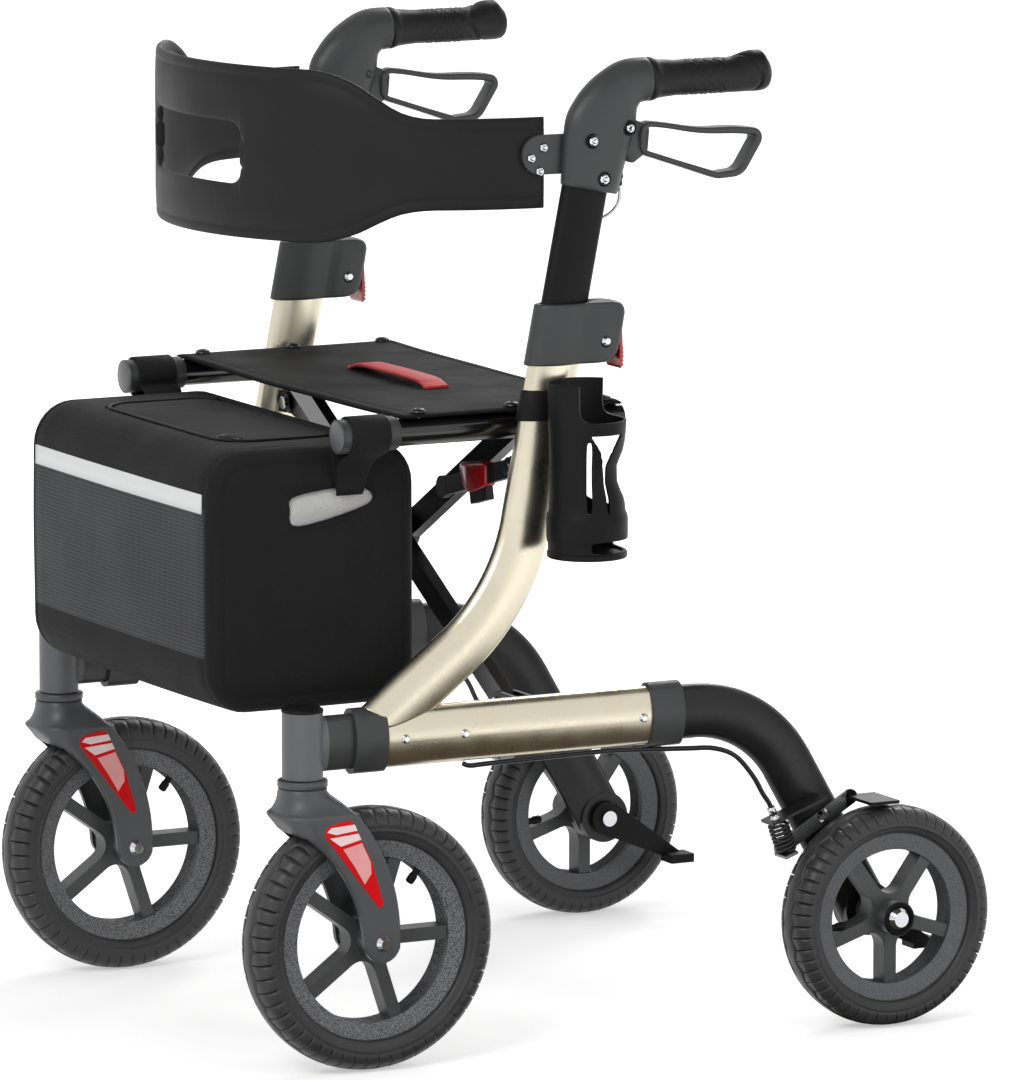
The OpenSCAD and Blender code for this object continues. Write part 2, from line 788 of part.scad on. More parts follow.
module brake_bar(s) {
    color(GREY) on_frame(s) difference() {
        union() {
            side_plate(bar_x, bar_x + bar_t) hull() {
                translate(bar_low) circle(bar_h / 2);
                translate(bar_high) circle(bar_h / 2);
            }
            translate([bar_x, bar_high[0] - 4, rear_d + shoe_gap]) cube([tyre_w, 32, bar_t]);
            translate([cable_x, spring_end[0], spring_end[1]]) rotate([spring_tilt, 0, 0])
                translate([bar_x - cable_x, -7, -bar_t - 0.4]) cube([cable_x - bar_x + 9, 14, bar_t]);
        }
        rod_x(brake_pivot, pin_d - 2 * tiny + 2 * running, 0, bar_x + 2 * bar_t);
    }
}

// Spring wire as one tube along a helix round the cable
coil_steps = 8;
spring_len = norm(spring_end - spring_top) - spring_wire - 0.4;
function coil_at(t) = [spring_r * cos(360 * t * spring_turns), spring_r * sin(360 * t * spring_turns),
    -spring_wire / 2 - 0.2 - spring_len * t];
coil_points = [for (i = [0:coil_steps * spring_turns]) coil_at(i / (coil_steps * spring_turns))];
coil_gap = spring_len / spring_turns - spring_wire;
echo(least_gap_between_spring_turns = coil_gap);

module brake_spring(s) {
    rings = [for (i = [0:len(coil_points) - 1])
        path_ring(coil_points[i], path_dir(coil_points, i), spring_wire / 2, 6)];
    color(BLACK) on_frame(s) translate([cable_x, spring_top[0], spring_top[1]])
        rotate([spring_tilt, 0, 0]) skin(rings);
}

module brake_cable(s) {
    rings = [for (i = [0:len(cable_route) - 1])
        path_ring(cable_route[i], path_dir(cable_route, i), cable_d / 2, 8)];
    color(BLACK) on_frame(s) skin(rings);
}

// Casters

module blade_outline() {
    difference() {
        intersection() {
            translate(outer_arc_c) circle(outer_arc_r);
            translate([caster_y - 52, front_axle_z]) square([200, crown_z - front_axle_z]);
        }
        translate(inner_arc_c) circle(inner_arc_r);
    }
    translate([front_axle_y, front_axle_z]) circle(blade_end_r);
}

module reflector_outline() {
    hull() {
        translate([front_axle_y - 55, front_axle_z + 111]) circle(7);
        translate([front_axle_y - 38.5, front_axle_z + 114]) circle(8);
        translate([front_axle_y - 18, front_axle_z + 77]) circle(6);
        translate([front_axle_y - 4, front_axle_z + 39]) circle(3.5);
    }
}

ring_d = 46.5;
crown_r = 52;
module fork(s) {
    color(GREY) on_frame(s) difference() {
        union() {
            intersection() {
                side_plate(-fork_out, fork_out) blade_outline();
                union() {
                    translate([0, caster_y, 0]) cylinder(r = crown_r, h = crown_z);
                    translate([-fork_out, caster_y, 0]) cube([2 * fork_out, 120, crown_z]);
                }
            }
            translate([0, caster_y, crown_z - 1]) cylinder(d1 = ring_d + 8, d2 = ring_d, h = 10);
            translate([0, caster_y, crown_z + 8]) cylinder(d = ring_d, h = head_bottom_z - crown_z - 8.5);
            translate([0, caster_y, crown_z]) cylinder(d = stem_d, h = stem_top_z - crown_z);
        }
        rod_x([front_axle_y, front_axle_z], front_d + 8, -fork_in, fork_in);
        rod_x([front_axle_y, front_axle_z], axle_d, -fork_out - 1, fork_out + 1);
        for (e = [0, 1]) mirror([e, 0, 0])
            side_plate(fork_out - reflector_t, fork_out + 1) reflector_outline();
    }
}

module fork_reflectors(s) {
    color(RED) on_frame(s) for (e = [0, 1]) mirror([e, 0, 0])
        side_plate(fork_out - reflector_t, fork_out + 0.6) reflector_outline();
}

module front_axle(s) {
    p = [front_axle_y, front_axle_z];
    color(CHROME) on_frame(s) {
        rod_x(p, axle_d - 2 * tiny, -fork_out, fork_out);
        for (e = [0, 1]) mirror([e, 0, 0]) {
            dome(p, axle_head_d, fork_out, axle_head_t);
            rod_x(p, axle_d + 6, front_hub_w / 2 + gap, fork_in);
        }
    }
}

// Wheel drawn round the X axis at its own centre

module rim_section(rim_r) {
    lip = rim_r - 2;
    inner = rim_r - rim_open;
    polygon([[inner, -rim_w / 2 + 4], [lip, -rim_w / 2], [rim_r, -rim_w / 2], [rim_r, rim_w / 2],
        [lip, rim_w / 2], [inner, rim_w / 2 - 4], [inner + 6, 6], [inner + 6, -6]]);
}

// Wide root of the spokes, hollowed by a round between each two of them
module spoke_root() {
    half = 180 / spokes;
    reach = (root_r - spoke_w / 2) / (1 - sin(half));
    round_r = reach * sin(half) - spoke_w / 2;
    linear_extrude(spoke_t - 1, center = true) difference() {
        circle(reach * cos(half));
        for (k = [0:spokes - 1]) rotate(half + 360 * k / spokes) translate([reach, 0]) circle(round_r - 0.3);
    }
}
root_r = 22;

module hub(rim_r, hub_w, bore, turn) {
    rotate([0, 90, 0]) difference() {
        union() {
            rotate_extrude() rim_section(rim_r);
            translate([0, 0, -hub_w / 2]) cylinder(r = hub_r, h = hub_w);
            for (k = [0:spokes - 1]) rotate(90 + turn + 360 * k / spokes)
                translate([hub_r - 3, -spoke_w / 2, -spoke_t / 2])
                    cube([rim_r - rim_open - hub_r + 12, spoke_w, spoke_t]);
            rotate(90 + turn) spoke_root();
        }
        translate([0, 0, -hub_w]) cylinder(d = bore, h = 2 * hub_w);
    }
}

module tyre(outer_r, rim_r) {
    rotate([0, 90, 0]) rotate_extrude() difference() {
        translate([outer_r - tyre_section / 2, 0]) rotate(0) tyre_oval();
        translate([0, -tyre_w]) square([rim_r + tiny, 2 * tyre_w]);
    }
}
tyre_section = 42;
module tyre_oval() {
    oval(tyre_w, tyre_section);
}

module front_hub(s) {
    color(GREY) on_frame(s) translate([0, front_axle_y, front_axle_z])
        hub(front_rim_r, front_hub_w, axle_d - 2 * tiny + 2 * running, 0);
}

module front_tyre(s) {
    color(BLACK) on_frame(s) translate([0, front_axle_y, front_axle_z]) tyre(front_d / 2, front_rim_r);
}

module rear_hub(s) {
    color(GREY) on_frame(s) translate([rear_wheel_x, rear_axle_y, rear_axle_z])
        hub(rear_rim_r, rear_hub_w, axle_d - 2 * tiny + 2 * running, -18);
}

module rear_tyre(s) {
    color(BLACK) on_frame(s) translate([rear_wheel_x, rear_axle_y, rear_axle_z]) tyre(rear_d / 2, rear_rim_r);
}

// Folding scissor

module arm_bar(y, from, to) {
    translate([0, y - arm_t / 2, cross_z]) rotate([0, -arm_angle, 0]) translate([from, 0, -arm_h / 2])
        cube([to - from, arm_t, arm_h]);
}

module seat_rail_arm(s) {
    y = s > 0 ? arm_left_y : arm_right_y;
    stud_y = s > 0 ? y - arm_t / 2 - gap / 2 : y + arm_t / 2;
    color(BLACK) on_side(s) {
        difference() {
            union() {
                arm_bar(y, -arm_half, arm_half);
                rod_y([-rail_x, low_pivot_z], 2 * arm_eye_r, y - arm_t / 2, y + arm_t / 2);
                rod_y([0, cross_z], arm_h + 8, y - arm_t / 2, y + arm_t / 2);
                rod_y([rail_x, seat_rail_z], seat_rail_d, seat_rail_front_y, seat_rail_rear_y);
                rod_y(stay_stud, stud_d, stud_y, stud_y + gap / 2);
            }
            rod_y([rail_x, seat_rail_z], seat_rail_d - 2 * tube_wall, seat_rail_front_y - 1, seat_rail_rear_y - 4);
            rod_y([-rail_x, low_pivot_z], pin_d + 2 * running, y - arm_t, y + arm_t);
            rod_y([0, cross_z], pin_d + 2 * running, y - arm_t, y + arm_t);
        }
        for (sy = seat_screws_y) seat_screw(sy);
    }
}

module seat_screw(y) {
    translate([rail_x, y, seat_rail_z + seat_rail_d / 2 - 3]) cylinder(d = seat_screw_d - 2 * gap, h = 3 + gap + seat_t + gap);
    translate([rail_x, y, seat_z + seat_t + gap]) cylinder(d1 = 14, d2 = 8, h = 3);
}

module rail_end_cap(s) {
    color(GREY) on_side(s) difference() {
        union() {
            rod_y([rail_x, seat_rail_z], cap_d, cap_front_y, cap_rear_y);
            rod_y([rail_x, seat_rail_z], cap_d - 3, cap_rear_y - 1, cap_rear_y + 3.5);
        }
        rod_y([rail_x, seat_rail_z], seat_rail_d + 2 * tiny, seat_rail_front_y, cap_rear_y + 5);
    }
}

module cross_pivot() {
    head_y = arm_t + arm_gap / 2 + gap;
    reach = head_y + 2;
    color(CHROME) {
        rod_y([0, cross_z], pin_d, arm_y - reach, arm_y + reach);
        for (e = [-1, 1]) rod_y([0, cross_z], 18, arm_y + e * (head_y + 1) - 1, arm_y + e * (head_y + 1) + 1);
    }
}

latch_h = 15;
module fold_stay(s) {
    y = s > 0 ? stay_left_y : stay_right_y;
    eye_in = 3;
    latch_x = 0.62 * stay_len;
    latch_w = 36;
    bar_half = stay_t / 2 - 0.1;
    color(BLACK) on_side(s) difference() {
        union() {
            rod_y(stay_pivot, 2 * stay_eye_r, y - stay_t / 2, y + stay_t / 2);
            rod_y(stay_stud, 2 * stay_eye_r, y - stay_t / 2, y + stay_t / 2);
            translate([stay_pivot[0], y + bar_half, stay_pivot[1]]) rotate([90, stay_angle, 0])
                linear_extrude(2 * bar_half) polygon([
                    [-eye_in, stay_h / 2], [eye_in - stay_len, stay_h / 2], [eye_in - stay_len, -stay_h / 2],
                    [-latch_x, -stay_h / 2], [-latch_x, -stay_h / 2 - latch_h],
                    [latch_w - latch_x, -stay_h / 2 - latch_h], [latch_w - latch_x, -stay_h / 2],
                    [-eye_in, -stay_h / 2]]);
        }
        rod_y(stay_pivot, pin_d + 2 * running, y - stay_t, y + stay_t);
    }
}

// Soft parts

module seat_panel() {
    chord = strap_chord / 2;
    strap_r = (chord * chord + strap_rise * strap_rise) / (2 * strap_rise);
    top = seat_z + seat_t;
    color(BLACK) difference() {
        translate([-seat_x, seat_front_y, seat_z]) cube([2 * seat_x, seat_depth, seat_t]);
        for (sx = [-1, 1], sy = seat_screws_y)
            translate([sx * rail_x, sy, seat_z - 1]) cylinder(d = seat_screw_d, h = seat_t + 2);
    }
    color(RED) intersection() {
        translate([0, strap_y + strap_w / 2, top + strap_rise - strap_r]) rotate([90, 0, 0])
            linear_extrude(strap_w) difference() {
                circle(strap_r);
                circle(strap_r - strap_t);
            }
        translate([-strap_chord, strap_y - strap_w, top + tiny]) cube([2 * strap_chord, 2 * strap_w, 60]);
    }
}

// Side view of the backrest: tall across the front, narrow straps to the handles
module back_profile() {
    front = back_y - back_r - back_t;
    polygon([[front, back_low], [back_wide_y, back_low], [back_wide_y + 25, back_low + 9],
        [back_narrow_y - 25, strap_low - 8], [back_narrow_y, strap_low], [back_end_y, strap_low],
        [back_end_y, strap_high], [back_narrow_y, strap_high], [back_narrow_y - 25, strap_high + 11],
        [back_wide_y + 25, back_high - 12], [back_wide_y, back_high], [front, back_high]]);
}

module backrest() {
    color(BLACK) difference() {
        intersection() {
            translate([0, back_y, back_low - 1]) difference() {
                cylinder(r = back_r + back_t / 2, h = back_high - back_low + 2, $fn = 128);
                translate([0, 0, -1]) cylinder(r = back_r - back_t / 2, h = back_high - back_low + 4, $fn = 128);
            }
            side_plate(-back_r - back_t, back_r + back_t) back_profile();
        }
        translate([0, back_y - back_r + 40, 0]) rotate([90, 0, 0]) linear_extrude(100) {
            translate([-slot_x, slot_z[0] + slot_r]) square([2 * slot_x, slot_z[1] - slot_z[0] - 2 * slot_r]);
            translate([-slot_x + slot_r, slot_z[0]]) square([2 * (slot_x - slot_r), slot_z[1] - slot_z[0]]);
            for (sx = [-1, 1], z = [slot_z[0] + slot_r, slot_z[1] - slot_r])
                translate([sx * (slot_x - slot_r), z]) circle(slot_r);
        }
    }
}

module rounded(w, h, r) {
    square([w - 2 * r, h], center = true);
    square([w, h - 2 * r], center = true);
    for (sx = [-1, 1], sy = [-1, 1]) translate([sx * (w / 2 - r), sy * (h / 2 - r)]) circle(r);
}

bag_mid = [bag_back_y - bag_depth / 2, bag_bottom_z + bag_h / 2];
bag_top_z = bag_bottom_z + bag_h;
lid_depth = bag_depth - lid_front - lid_back;
lid_y = bag_back_y - lid_back - lid_depth / 2;

module bag_shell() {
    color(BLACK) {
        difference() {
            side_plate(-bag_x, bag_x) translate(bag_mid) rounded(bag_depth, bag_h, bag_r);
            side_plate(-bag_x + bag_wall, bag_x - bag_wall) translate(bag_mid)
                rounded(bag_depth - 2 * bag_wall, bag_h - 2 * bag_wall, bag_r - bag_wall);
            translate([0, lid_y, bag_top_z - 2 * bag_wall]) linear_extrude(4 * bag_wall)
                rounded(2 * lid_x + 2 * gap, lid_depth + 2 * gap, lid_r);
        }
        for (s = [1, -1]) on_side(s) bag_tab();
    }
}

// Loop of webbing round the end cap, sewn to the bag's side
module bag_tab() {
    y0 = (cap_front_y + cap_rear_y) / 2 - tab_len / 2;
    hole = cap_d + 2 * gap;
    difference() {
        union() {
            rod_y([rail_x, seat_rail_z], hole + 2 * tab_t, y0, y0 + tab_len);
            translate([bag_x, y0, seat_rail_z - 58]) cube([tab_t, tab_len, 58]);
            translate([bag_x, y0, seat_rail_z - 6]) cube([rail_x - bag_x, tab_len, 6]);
        }
        rod_y([rail_x, seat_rail_z], hole, y0 - 1, y0 + tab_len + 1);
    }
}

module bag_lid() {
    color(BLACK) {
        translate([0, lid_y, bag_top_z - bag_wall]) linear_extrude(lid_t) rounded(2 * lid_x, lid_depth, lid_r);
        translate([-30, lid_y - lid_depth / 2 + 4, bag_top_z - bag_wall + lid_t - tiny]) cube([14, 5, 2]);
    }
}

// Cup holder

module cup_ring(z, h, from, sweep) {
    translate([cup_x, cup_y, z]) rotate_extrude(angle = sweep, start = from)
        translate([cup_r, 0]) square([cup_wall, h]);
}

band_y = axis_y(band_z);
module cup_holder() {
    color(BLACK) difference() {
        union() {
            cup_ring(cup_ring_z, cup_ring_h, 0, 360);
            cup_ring(cup_floor_z, cup_top_z - cup_floor_z, 130, 120);
            cup_ring(cup_top_z - 44, 8, 0, 360);
            for (from = [-32, 12]) cup_ring(cup_ring_z, cup_top_z - 40 - cup_ring_z, from - 10, 20);
            translate([cup_x, cup_y, cup_floor_z]) cylinder(r = cup_r + cup_wall / 2, h = 4);
            translate([frame_x, 0, 0]) run([band_y, band_z], axis_heading, band_h) difference() {
                oval(upright_h + 2 * band_wall, upright_w + 2 * band_wall);
                oval(upright_h + 2 * upright_fit, upright_w + 2 * upright_fit);
            }
            translate([frame_x + upright_w / 2 + band_wall / 2, band_y - 2, band_z])
                cube([cup_x - cup_r - frame_x - upright_w / 2, 20, band_h - 6]);
        }
        translate([cup_x, cup_y, cup_floor_z + 4]) cylinder(r = cup_r, h = 300);
    }
}

lower_rail(1);  // lower_rail_left
lower_rail(-1);  // lower_rail_right
upright(1);  // upright_left
upright(-1);  // upright_right
rail_collars(1);  // rail_collars_left
rail_collars(-1);  // rail_collars_right
caster_head(1);  // caster_head_left
caster_head(-1);  // caster_head_right
rear_leg(1);  // rear_leg_left
rear_leg(-1);  // rear_leg_right
curb_pedal(1);  // curb_pedal_left
curb_pedal(-1);  // curb_pedal_right
fold_brackets(1);  // fold_brackets_left
fold_brackets(-1);  // fold_brackets_right
frame_fasteners(1);  // frame_fasteners_left
frame_fasteners(-1);  // frame_fasteners_right
height_clamp(1);  // height_clamp_left
height_clamp(-1);  // height_clamp_right
height_lever(1);  // height_lever_left
height_lever(-1);  // height_lever_right
handle_tube(1);  // handle_tube_left
handle_tube(-1);  // handle_tube_right
handle_elbow(1);  // handle_elbow_left
handle_elbow(-1);  // handle_elbow_right
grip(1);  // grip_left
grip(-1);  // grip_right
brake_lever(1);  // brake_lever_left
brake_lever(-1);  // brake_lever_right
brake_cable(1);  // brake_cable_left
brake_cable(-1);  // brake_cable_right
brake_spring(1);  // brake_spring_left
brake_spring(-1);  // brake_spring_right
brake_bar(1);  // brake_bar_left
brake_bar(-1);  // brake_bar_right
fork(1);  // fork_left
fork(-1);  // fork_right
fork_reflectors(1);  // fork_reflectors_left
fork_reflectors(-1);  // fork_reflectors_right
front_axle(1);  // front_axle_left
front_axle(-1);  // front_axle_right
front_hub(1);  // front_hub_left
front_hub(-1);  // front_hub_right
front_tyre(1);  // front_tyre_left
front_tyre(-1);  // front_tyre_right
rear_hub(1);  // rear_hub_left
rear_hub(-1);  // rear_hub_right
rear_tyre(1);  // rear_tyre_left
rear_tyre(-1);  // rear_tyre_right
seat_rail_arm(1);  // seat_rail_arm_left
seat_rail_arm(-1);  // seat_rail_arm_right
rail_end_cap(1);  // rail_end_cap_left
rail_end_cap(-1);  // rail_end_cap_right
fold_stay(1);  // fold_stay_left
fold_stay(-1);  // fold_stay_right
cross_pivot();
seat_panel();
backrest();
bag_shell();
bag_lid();
cup_holder();
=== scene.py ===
"""All terrain rollator: finishes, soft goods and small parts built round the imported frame."""

import math

import bmesh
import bpy
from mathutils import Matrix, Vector


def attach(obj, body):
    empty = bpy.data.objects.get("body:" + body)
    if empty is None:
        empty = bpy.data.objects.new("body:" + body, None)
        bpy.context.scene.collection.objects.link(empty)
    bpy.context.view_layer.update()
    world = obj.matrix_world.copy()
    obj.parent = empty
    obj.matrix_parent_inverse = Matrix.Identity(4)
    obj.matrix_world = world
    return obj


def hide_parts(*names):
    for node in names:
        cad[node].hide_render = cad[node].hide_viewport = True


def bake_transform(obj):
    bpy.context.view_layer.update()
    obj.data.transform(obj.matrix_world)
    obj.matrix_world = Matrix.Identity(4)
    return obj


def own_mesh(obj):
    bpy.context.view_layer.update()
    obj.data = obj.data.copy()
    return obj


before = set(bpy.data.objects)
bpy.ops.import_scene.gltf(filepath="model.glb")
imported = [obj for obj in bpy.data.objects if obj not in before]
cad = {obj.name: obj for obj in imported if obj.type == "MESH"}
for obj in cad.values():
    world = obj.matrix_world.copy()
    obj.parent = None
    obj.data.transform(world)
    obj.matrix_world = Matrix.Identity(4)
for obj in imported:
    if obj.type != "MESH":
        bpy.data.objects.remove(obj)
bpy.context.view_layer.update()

MM = 0.001
TURN = 2 * math.pi
SIGN = {"left": 1, "right": -1}
OUT = (1, 0, 0)
UP = (0, 0, 1)

# Main sizes of the frame, in millimetres, repeated from the part's source
FRAME_X = 276
FRONT_WHEEL = (-260.5, 127.0)
FRONT_R = 127.0
FRONT_RIM_R = 97.0
REAR_WHEEL = (279.9, 108.5)
REAR_R = 108.5
REAR_RIM_R = 83.0
REAR_X = 319
GRIP_Z = 931
SEAT_TOP = 620.7
SEAT_RAIL = (237.6, 602.4)


# Finishes


def linear(code):
    """sRGB hex colour to linear RGBA."""
    parts = [int(code[i:i + 2], 16) / 255 for i in (1, 3, 5)]
    return [c / 12.92 if c <= 0.04045 else ((c + 0.055) / 1.055) ** 2.4 for c in parts] + [1.0]


def add(tree, kind, inputs=None, **settings):
    """Adds a node with its settings; an input is a value or another node's output."""
    node = tree.nodes.new(kind)
    for name, value in settings.items():
        setattr(node, name, value)
    for name, value in (inputs or {}).items():
        if isinstance(value, bpy.types.NodeSocket):
            tree.links.new(value, node.inputs[name])
        else:
            node.inputs[name].default_value = value
    return node


def plain(name, **sockets):
    """A material with constants on its shader; an underscore in a socket's name stands for a space."""
    material = bpy.data.materials.new(name)
    material.use_nodes = True
    shader = material.node_tree.nodes["Principled BSDF"]
    for socket, value in sockets.items():
        shader.inputs[socket.replace("_", " ")].default_value = value
    return material


def feed(tree, socket, output):
    """Links an output to one of the shader's sockets."""
    tree.links.new(output, tree.nodes["Principled BSDF"].inputs[socket])


def fed(tree, socket):
    """The output that is linked to one of the shader's sockets."""
    return tree.nodes["Principled BSDF"].inputs[socket].links[0].from_socket


def paint(tree, mask, colour):
    """Lays another colour over a finish where a mask is 1."""
    over = add(tree, "ShaderNodeMix", {0: mask, 6: fed(tree, "Base Color"), 7: colour}, data_type="RGBA")
    feed(tree, "Base Color", over.outputs[2])


def relief(tree, height, depth, invert=False):
    """Raises a pattern by a depth in mm, on top of the relief that a finish has so far."""
    raised = add(tree, "ShaderNodeBump", {"Height": height, "Distance": depth * MM, "Strength": 1.0,
                                          "Normal": fed(tree, "Normal")}, invert=invert)
    feed(tree, "Normal", raised.outputs["Normal"])


def finish(name, dark, light, patch, rough, grain, depth, edge=0.8, **sockets):
    """A moulded, coated or plated surface.

    Colour drifts between dark and light over patches, roughness between two values,
    and a fine grain is raised by depth. Patch, grain, depth and edge rounding are in mm.
    """
    material = plain(name, **sockets)
    tree = material.node_tree
    place = add(tree, "ShaderNodeTexCoord").outputs["Object"]
    drift = add(tree, "ShaderNodeTexNoise", {"Vector": place, "Scale": 1 / (patch * MM), "Detail": 3.0})
    colour = add(tree, "ShaderNodeMix", {0: drift.outputs["Fac"], 6: linear(dark), 7: linear(light)},
                 data_type="RGBA")
    feed(tree, "Base Color", colour.outputs[2])
    gloss = add(tree, "ShaderNodeMapRange", {"Value": drift.outputs["Fac"], "From Min": 0.3,
                                             "From Max": 0.7, "To Min": rough[0], "To Max": rough[1]})
    feed(tree, "Roughness", gloss.outputs["Result"])
    rounded = add(tree, "ShaderNodeBevel", {"Radius": edge * MM}, samples=2)
    feed(tree, "Normal", rounded.outputs["Normal"])
    fine = add(tree, "ShaderNodeTexNoise", {"Vector": place, "Scale": 1 / (grain * MM), "Detail": 2.0})
    relief(tree, fine.outputs["Fac"], depth)
    return material


def nylon(name, dark, light, depth=0.03, **sockets):
    """Glass-filled nylon moulding: a spark-eroded, slightly sparkling skin."""
    return finish(f"glass_filled_nylon_{name}", dark, light, 25, (0.36, 0.46), 0.45, depth, **sockets)


def woven(name, dark, light, thread, depth, rough, **sockets):
    """Woven cloth: three crossing sets of threads, one per axis, raise a plain weave."""
    material = finish(name, dark, light, 60, rough, 0.6, 0.02, edge=0.3, **sockets)
    tree = material.node_tree
    place = add(tree, "ShaderNodeTexCoord").outputs["Object"]
    # The wave texture repeats every pi / (10 * scale), and two threads make one wave
    scale = math.pi / (10 * 2 * thread * MM)
    sets = [add(tree, "ShaderNodeTexWave", {"Vector": place, "Scale": scale}, bands_direction=axis)
            for axis in "XYZ"]
    total = 0.0
    for one, other in zip(sets, sets[1:] + sets[:1]):
        total = add(tree, "ShaderNodeMath", {0: one.outputs["Fac"], 1: other.outputs["Fac"], 2: total},
                    operation="MULTIPLY_ADD").outputs[0]
    relief(tree, total, depth)
    return material


def parted(material, y, code):
    """Gives a finish another colour behind a plane across the object, at a y in mm."""
    tree = material.node_tree
    place = add(tree, "ShaderNodeTexCoord").outputs["Object"]
    along = add(tree, "ShaderNodeSeparateXYZ", {0: place}).outputs["Y"]
    past = add(tree, "ShaderNodeMath", {0: along, 1: y * MM}, operation="GREATER_THAN")
    paint(tree, past.outputs[0], linear(code))
    return material


def speckled_hub(name, centre, inner, outer, bright, dull):
    """Moulded wheel: smooth spokes, and a coarse spark-eroded ring between two radii (mm) of the rim."""
    material = finish(name, "#3C3D3F", "#474849", 25, (0.36, 0.46), 0.5, 0.03)
    tree = material.node_tree
    place = add(tree, "ShaderNodeTexCoord").outputs["Object"]
    shift = (0, -centre[0] * MM, -centre[1] * MM)
    flat = add(tree, "ShaderNodeVectorMath", {0: place, 1: (0, 1, 1), 2: shift}, operation="MULTIPLY_ADD")
    radius = add(tree, "ShaderNodeVectorMath", {0: flat.outputs[0]}, operation="LENGTH").outputs["Value"]
    middle, half = (inner + outer) / 2 * MM, (outer - inner) / 2 * MM
    ring = add(tree, "ShaderNodeMath", {0: radius, 1: middle, 2: half}, operation="COMPARE").outputs[0]
    # Grit of 1.5 mm, drawn a little coarse so that it shows
    grit = add(tree, "ShaderNodeTexVoronoi", {"Vector": place, "Scale": 1 / (1.5 * MM)}).outputs["Distance"]
    shade = add(tree, "ShaderNodeMapRange", {"Value": grit, "From Min": 0.1, "From Max": 0.7})
    speck = add(tree, "ShaderNodeMix", {0: shade.outputs["Result"], 6: linear(bright), 7: linear(dull)},
                data_type="RGBA")
    paint(tree, ring, speck.outputs[2])
    height = add(tree, "ShaderNodeMath", {0: grit, 1: ring}, operation="MULTIPLY")
    relief(tree, height.outputs[0], 0.5, invert=True)
    return material


def mesh_cloth():
    """Spacer mesh of the bag's front: grey threads round small dark holes."""
    material = finish("spacer_mesh_grey", "#434446", "#4B4C4E", 80, (0.55, 0.65), 0.6, 0.02, edge=0.2,
                      Specular_IOR_Level=0.2)
    tree = material.node_tree
    place = add(tree, "ShaderNodeTexCoord").outputs["Object"]
    # Upright columns: holes are cells of a grid, a pitch of 2.6 mm apart, stretched along z
    pitch = 2.6 * MM
    squeezed = add(tree, "ShaderNodeVectorMath", {0: place, 1: (1 / pitch, 0.0, 0.7 / pitch)},
                   operation="MULTIPLY")
    cells = add(tree, "ShaderNodeTexVoronoi", {"Vector": squeezed.outputs[0], "Scale": 1.0,
                                               "Randomness": 0.0})
    hole = add(tree, "ShaderNodeMapRange", {"Value": cells.outputs["Distance"], "From Min": 0.26,
                                            "From Max": 0.38, "To Min": 1.0, "To Max": 0.0})
    paint(tree, hole.outputs["Result"], linear("#1E1F20"))
    relief(tree, hole.outputs["Result"], 0.6, invert=True)
    return material


# Champagne pearl lacquer over extruded aluminium: a metal that mirrors soft white and dark bands
gold = finish("lacquered_aluminium_champagne", "#D4CCB6", "#DFD8C4", 30, (0.25, 0.32), 0.5, 0.001,
              edge=1.0, Metallic=1.0)
# Satin black powder coat on aluminium tube: faint orange peel, soft highlights along the tube
black_tube = finish("powder_coat_black", "#101011", "#161617", 40, (0.34, 0.42), 1.6, 0.03,
                    Specular_IOR_Level=0.35, Coat_Weight=0.06, Coat_Roughness=0.25)
# The same coat on the sliding handle tubes, as a darker copy with a weaker reflection: painted shade that
# keeps them deep black under the white room
shaded_tube = finish("powder_coat_black_painted_shade", "#0D0D0E", "#131314", 40, (0.42, 0.5), 1.6, 0.03,
                   Specular_IOR_Level=0.16)
# Gloss black stove enamel on the seat rails: a sharp white line of light runs along them
gloss_tube = finish("stove_enamel_black", "#0E0E0F", "#141415", 40, (0.14, 0.2), 2.0, 0.02,
                    Coat_Weight=0.4, Coat_Roughness=0.1)
# Dark grey nylon of the castings, clamps and collars
grey_nylon = nylon("grey", "#363738", "#404142", 0.035, Specular_IOR_Level=0.4)
# Lighter grey nylon of the forks
fork_nylon = nylon("fork", "#47484A", "#525355")
# Lightest grey nylon of the seat rails' cap faces
pale_nylon = nylon("pale", "#606163", "#6B6C6F")
# Caster heads: pale grey nylon head on a darker stub that goes into the rail
head_nylon = parted(nylon("head", "#5B5C5E", "#66676A"), -306, "#38393A")
# Grey nylon wheels with a speckled ring at the rim
front_hub = speckled_hub("moulded_wheel_front", FRONT_WHEEL, 80, 96, "#8C8D8F", "#4A4B4D")
rear_hub = speckled_hub("moulded_wheel_rear", REAR_WHEEL, 66, 82, "#6A6B6D", "#545557")
# Black polypropylene mouldings: cup holder, pedals, caps and cups
black_moulding = finish("polypropylene_black", "#0F0F10", "#151516", 25, (0.42, 0.52), 0.6, 0.03,
                        Specular_IOR_Level=0.15)
# Polyurethane tyre: matt, dusty in the patches
tyre_rubber = finish("polyurethane_tyre", "#2E2E2F", "#3F3F40", 22, (0.36, 0.48), 1.1, 0.07, edge=0.6,
                     Specular_IOR_Level=0.4)
# Soft grip rubber with a pebbled skin
grip_rubber = finish("thermoplastic_rubber_grip", "#0E0E0F", "#151516", 14, (0.4, 0.55), 1.5, 0.1, edge=0.5,
                     Specular_IOR_Level=0.3)
# Gloss red ABS levers and latches
red_abs = finish("abs_red", "#B01319", "#C5171D", 20, (0.2, 0.3), 0.8, 0.01, Coat_Weight=0.4)
# Bright chrome on the fasteners
chrome = finish("chromed_steel", "#C6C9CD", "#D6D8DB", 12, (0.08, 0.16), 0.8, 0.006, edge=0.4, Metallic=1.0)
# Brake bars: dull silver zinc plate, with a black shoe at the rear end
bar_steel = parted(finish("zinc_plated_steel_bar", "#77787A", "#858688", 14, (0.28, 0.38), 0.6, 0.01,
                          edge=0.4, Metallic=0.9), 251, "#1C1C1D")
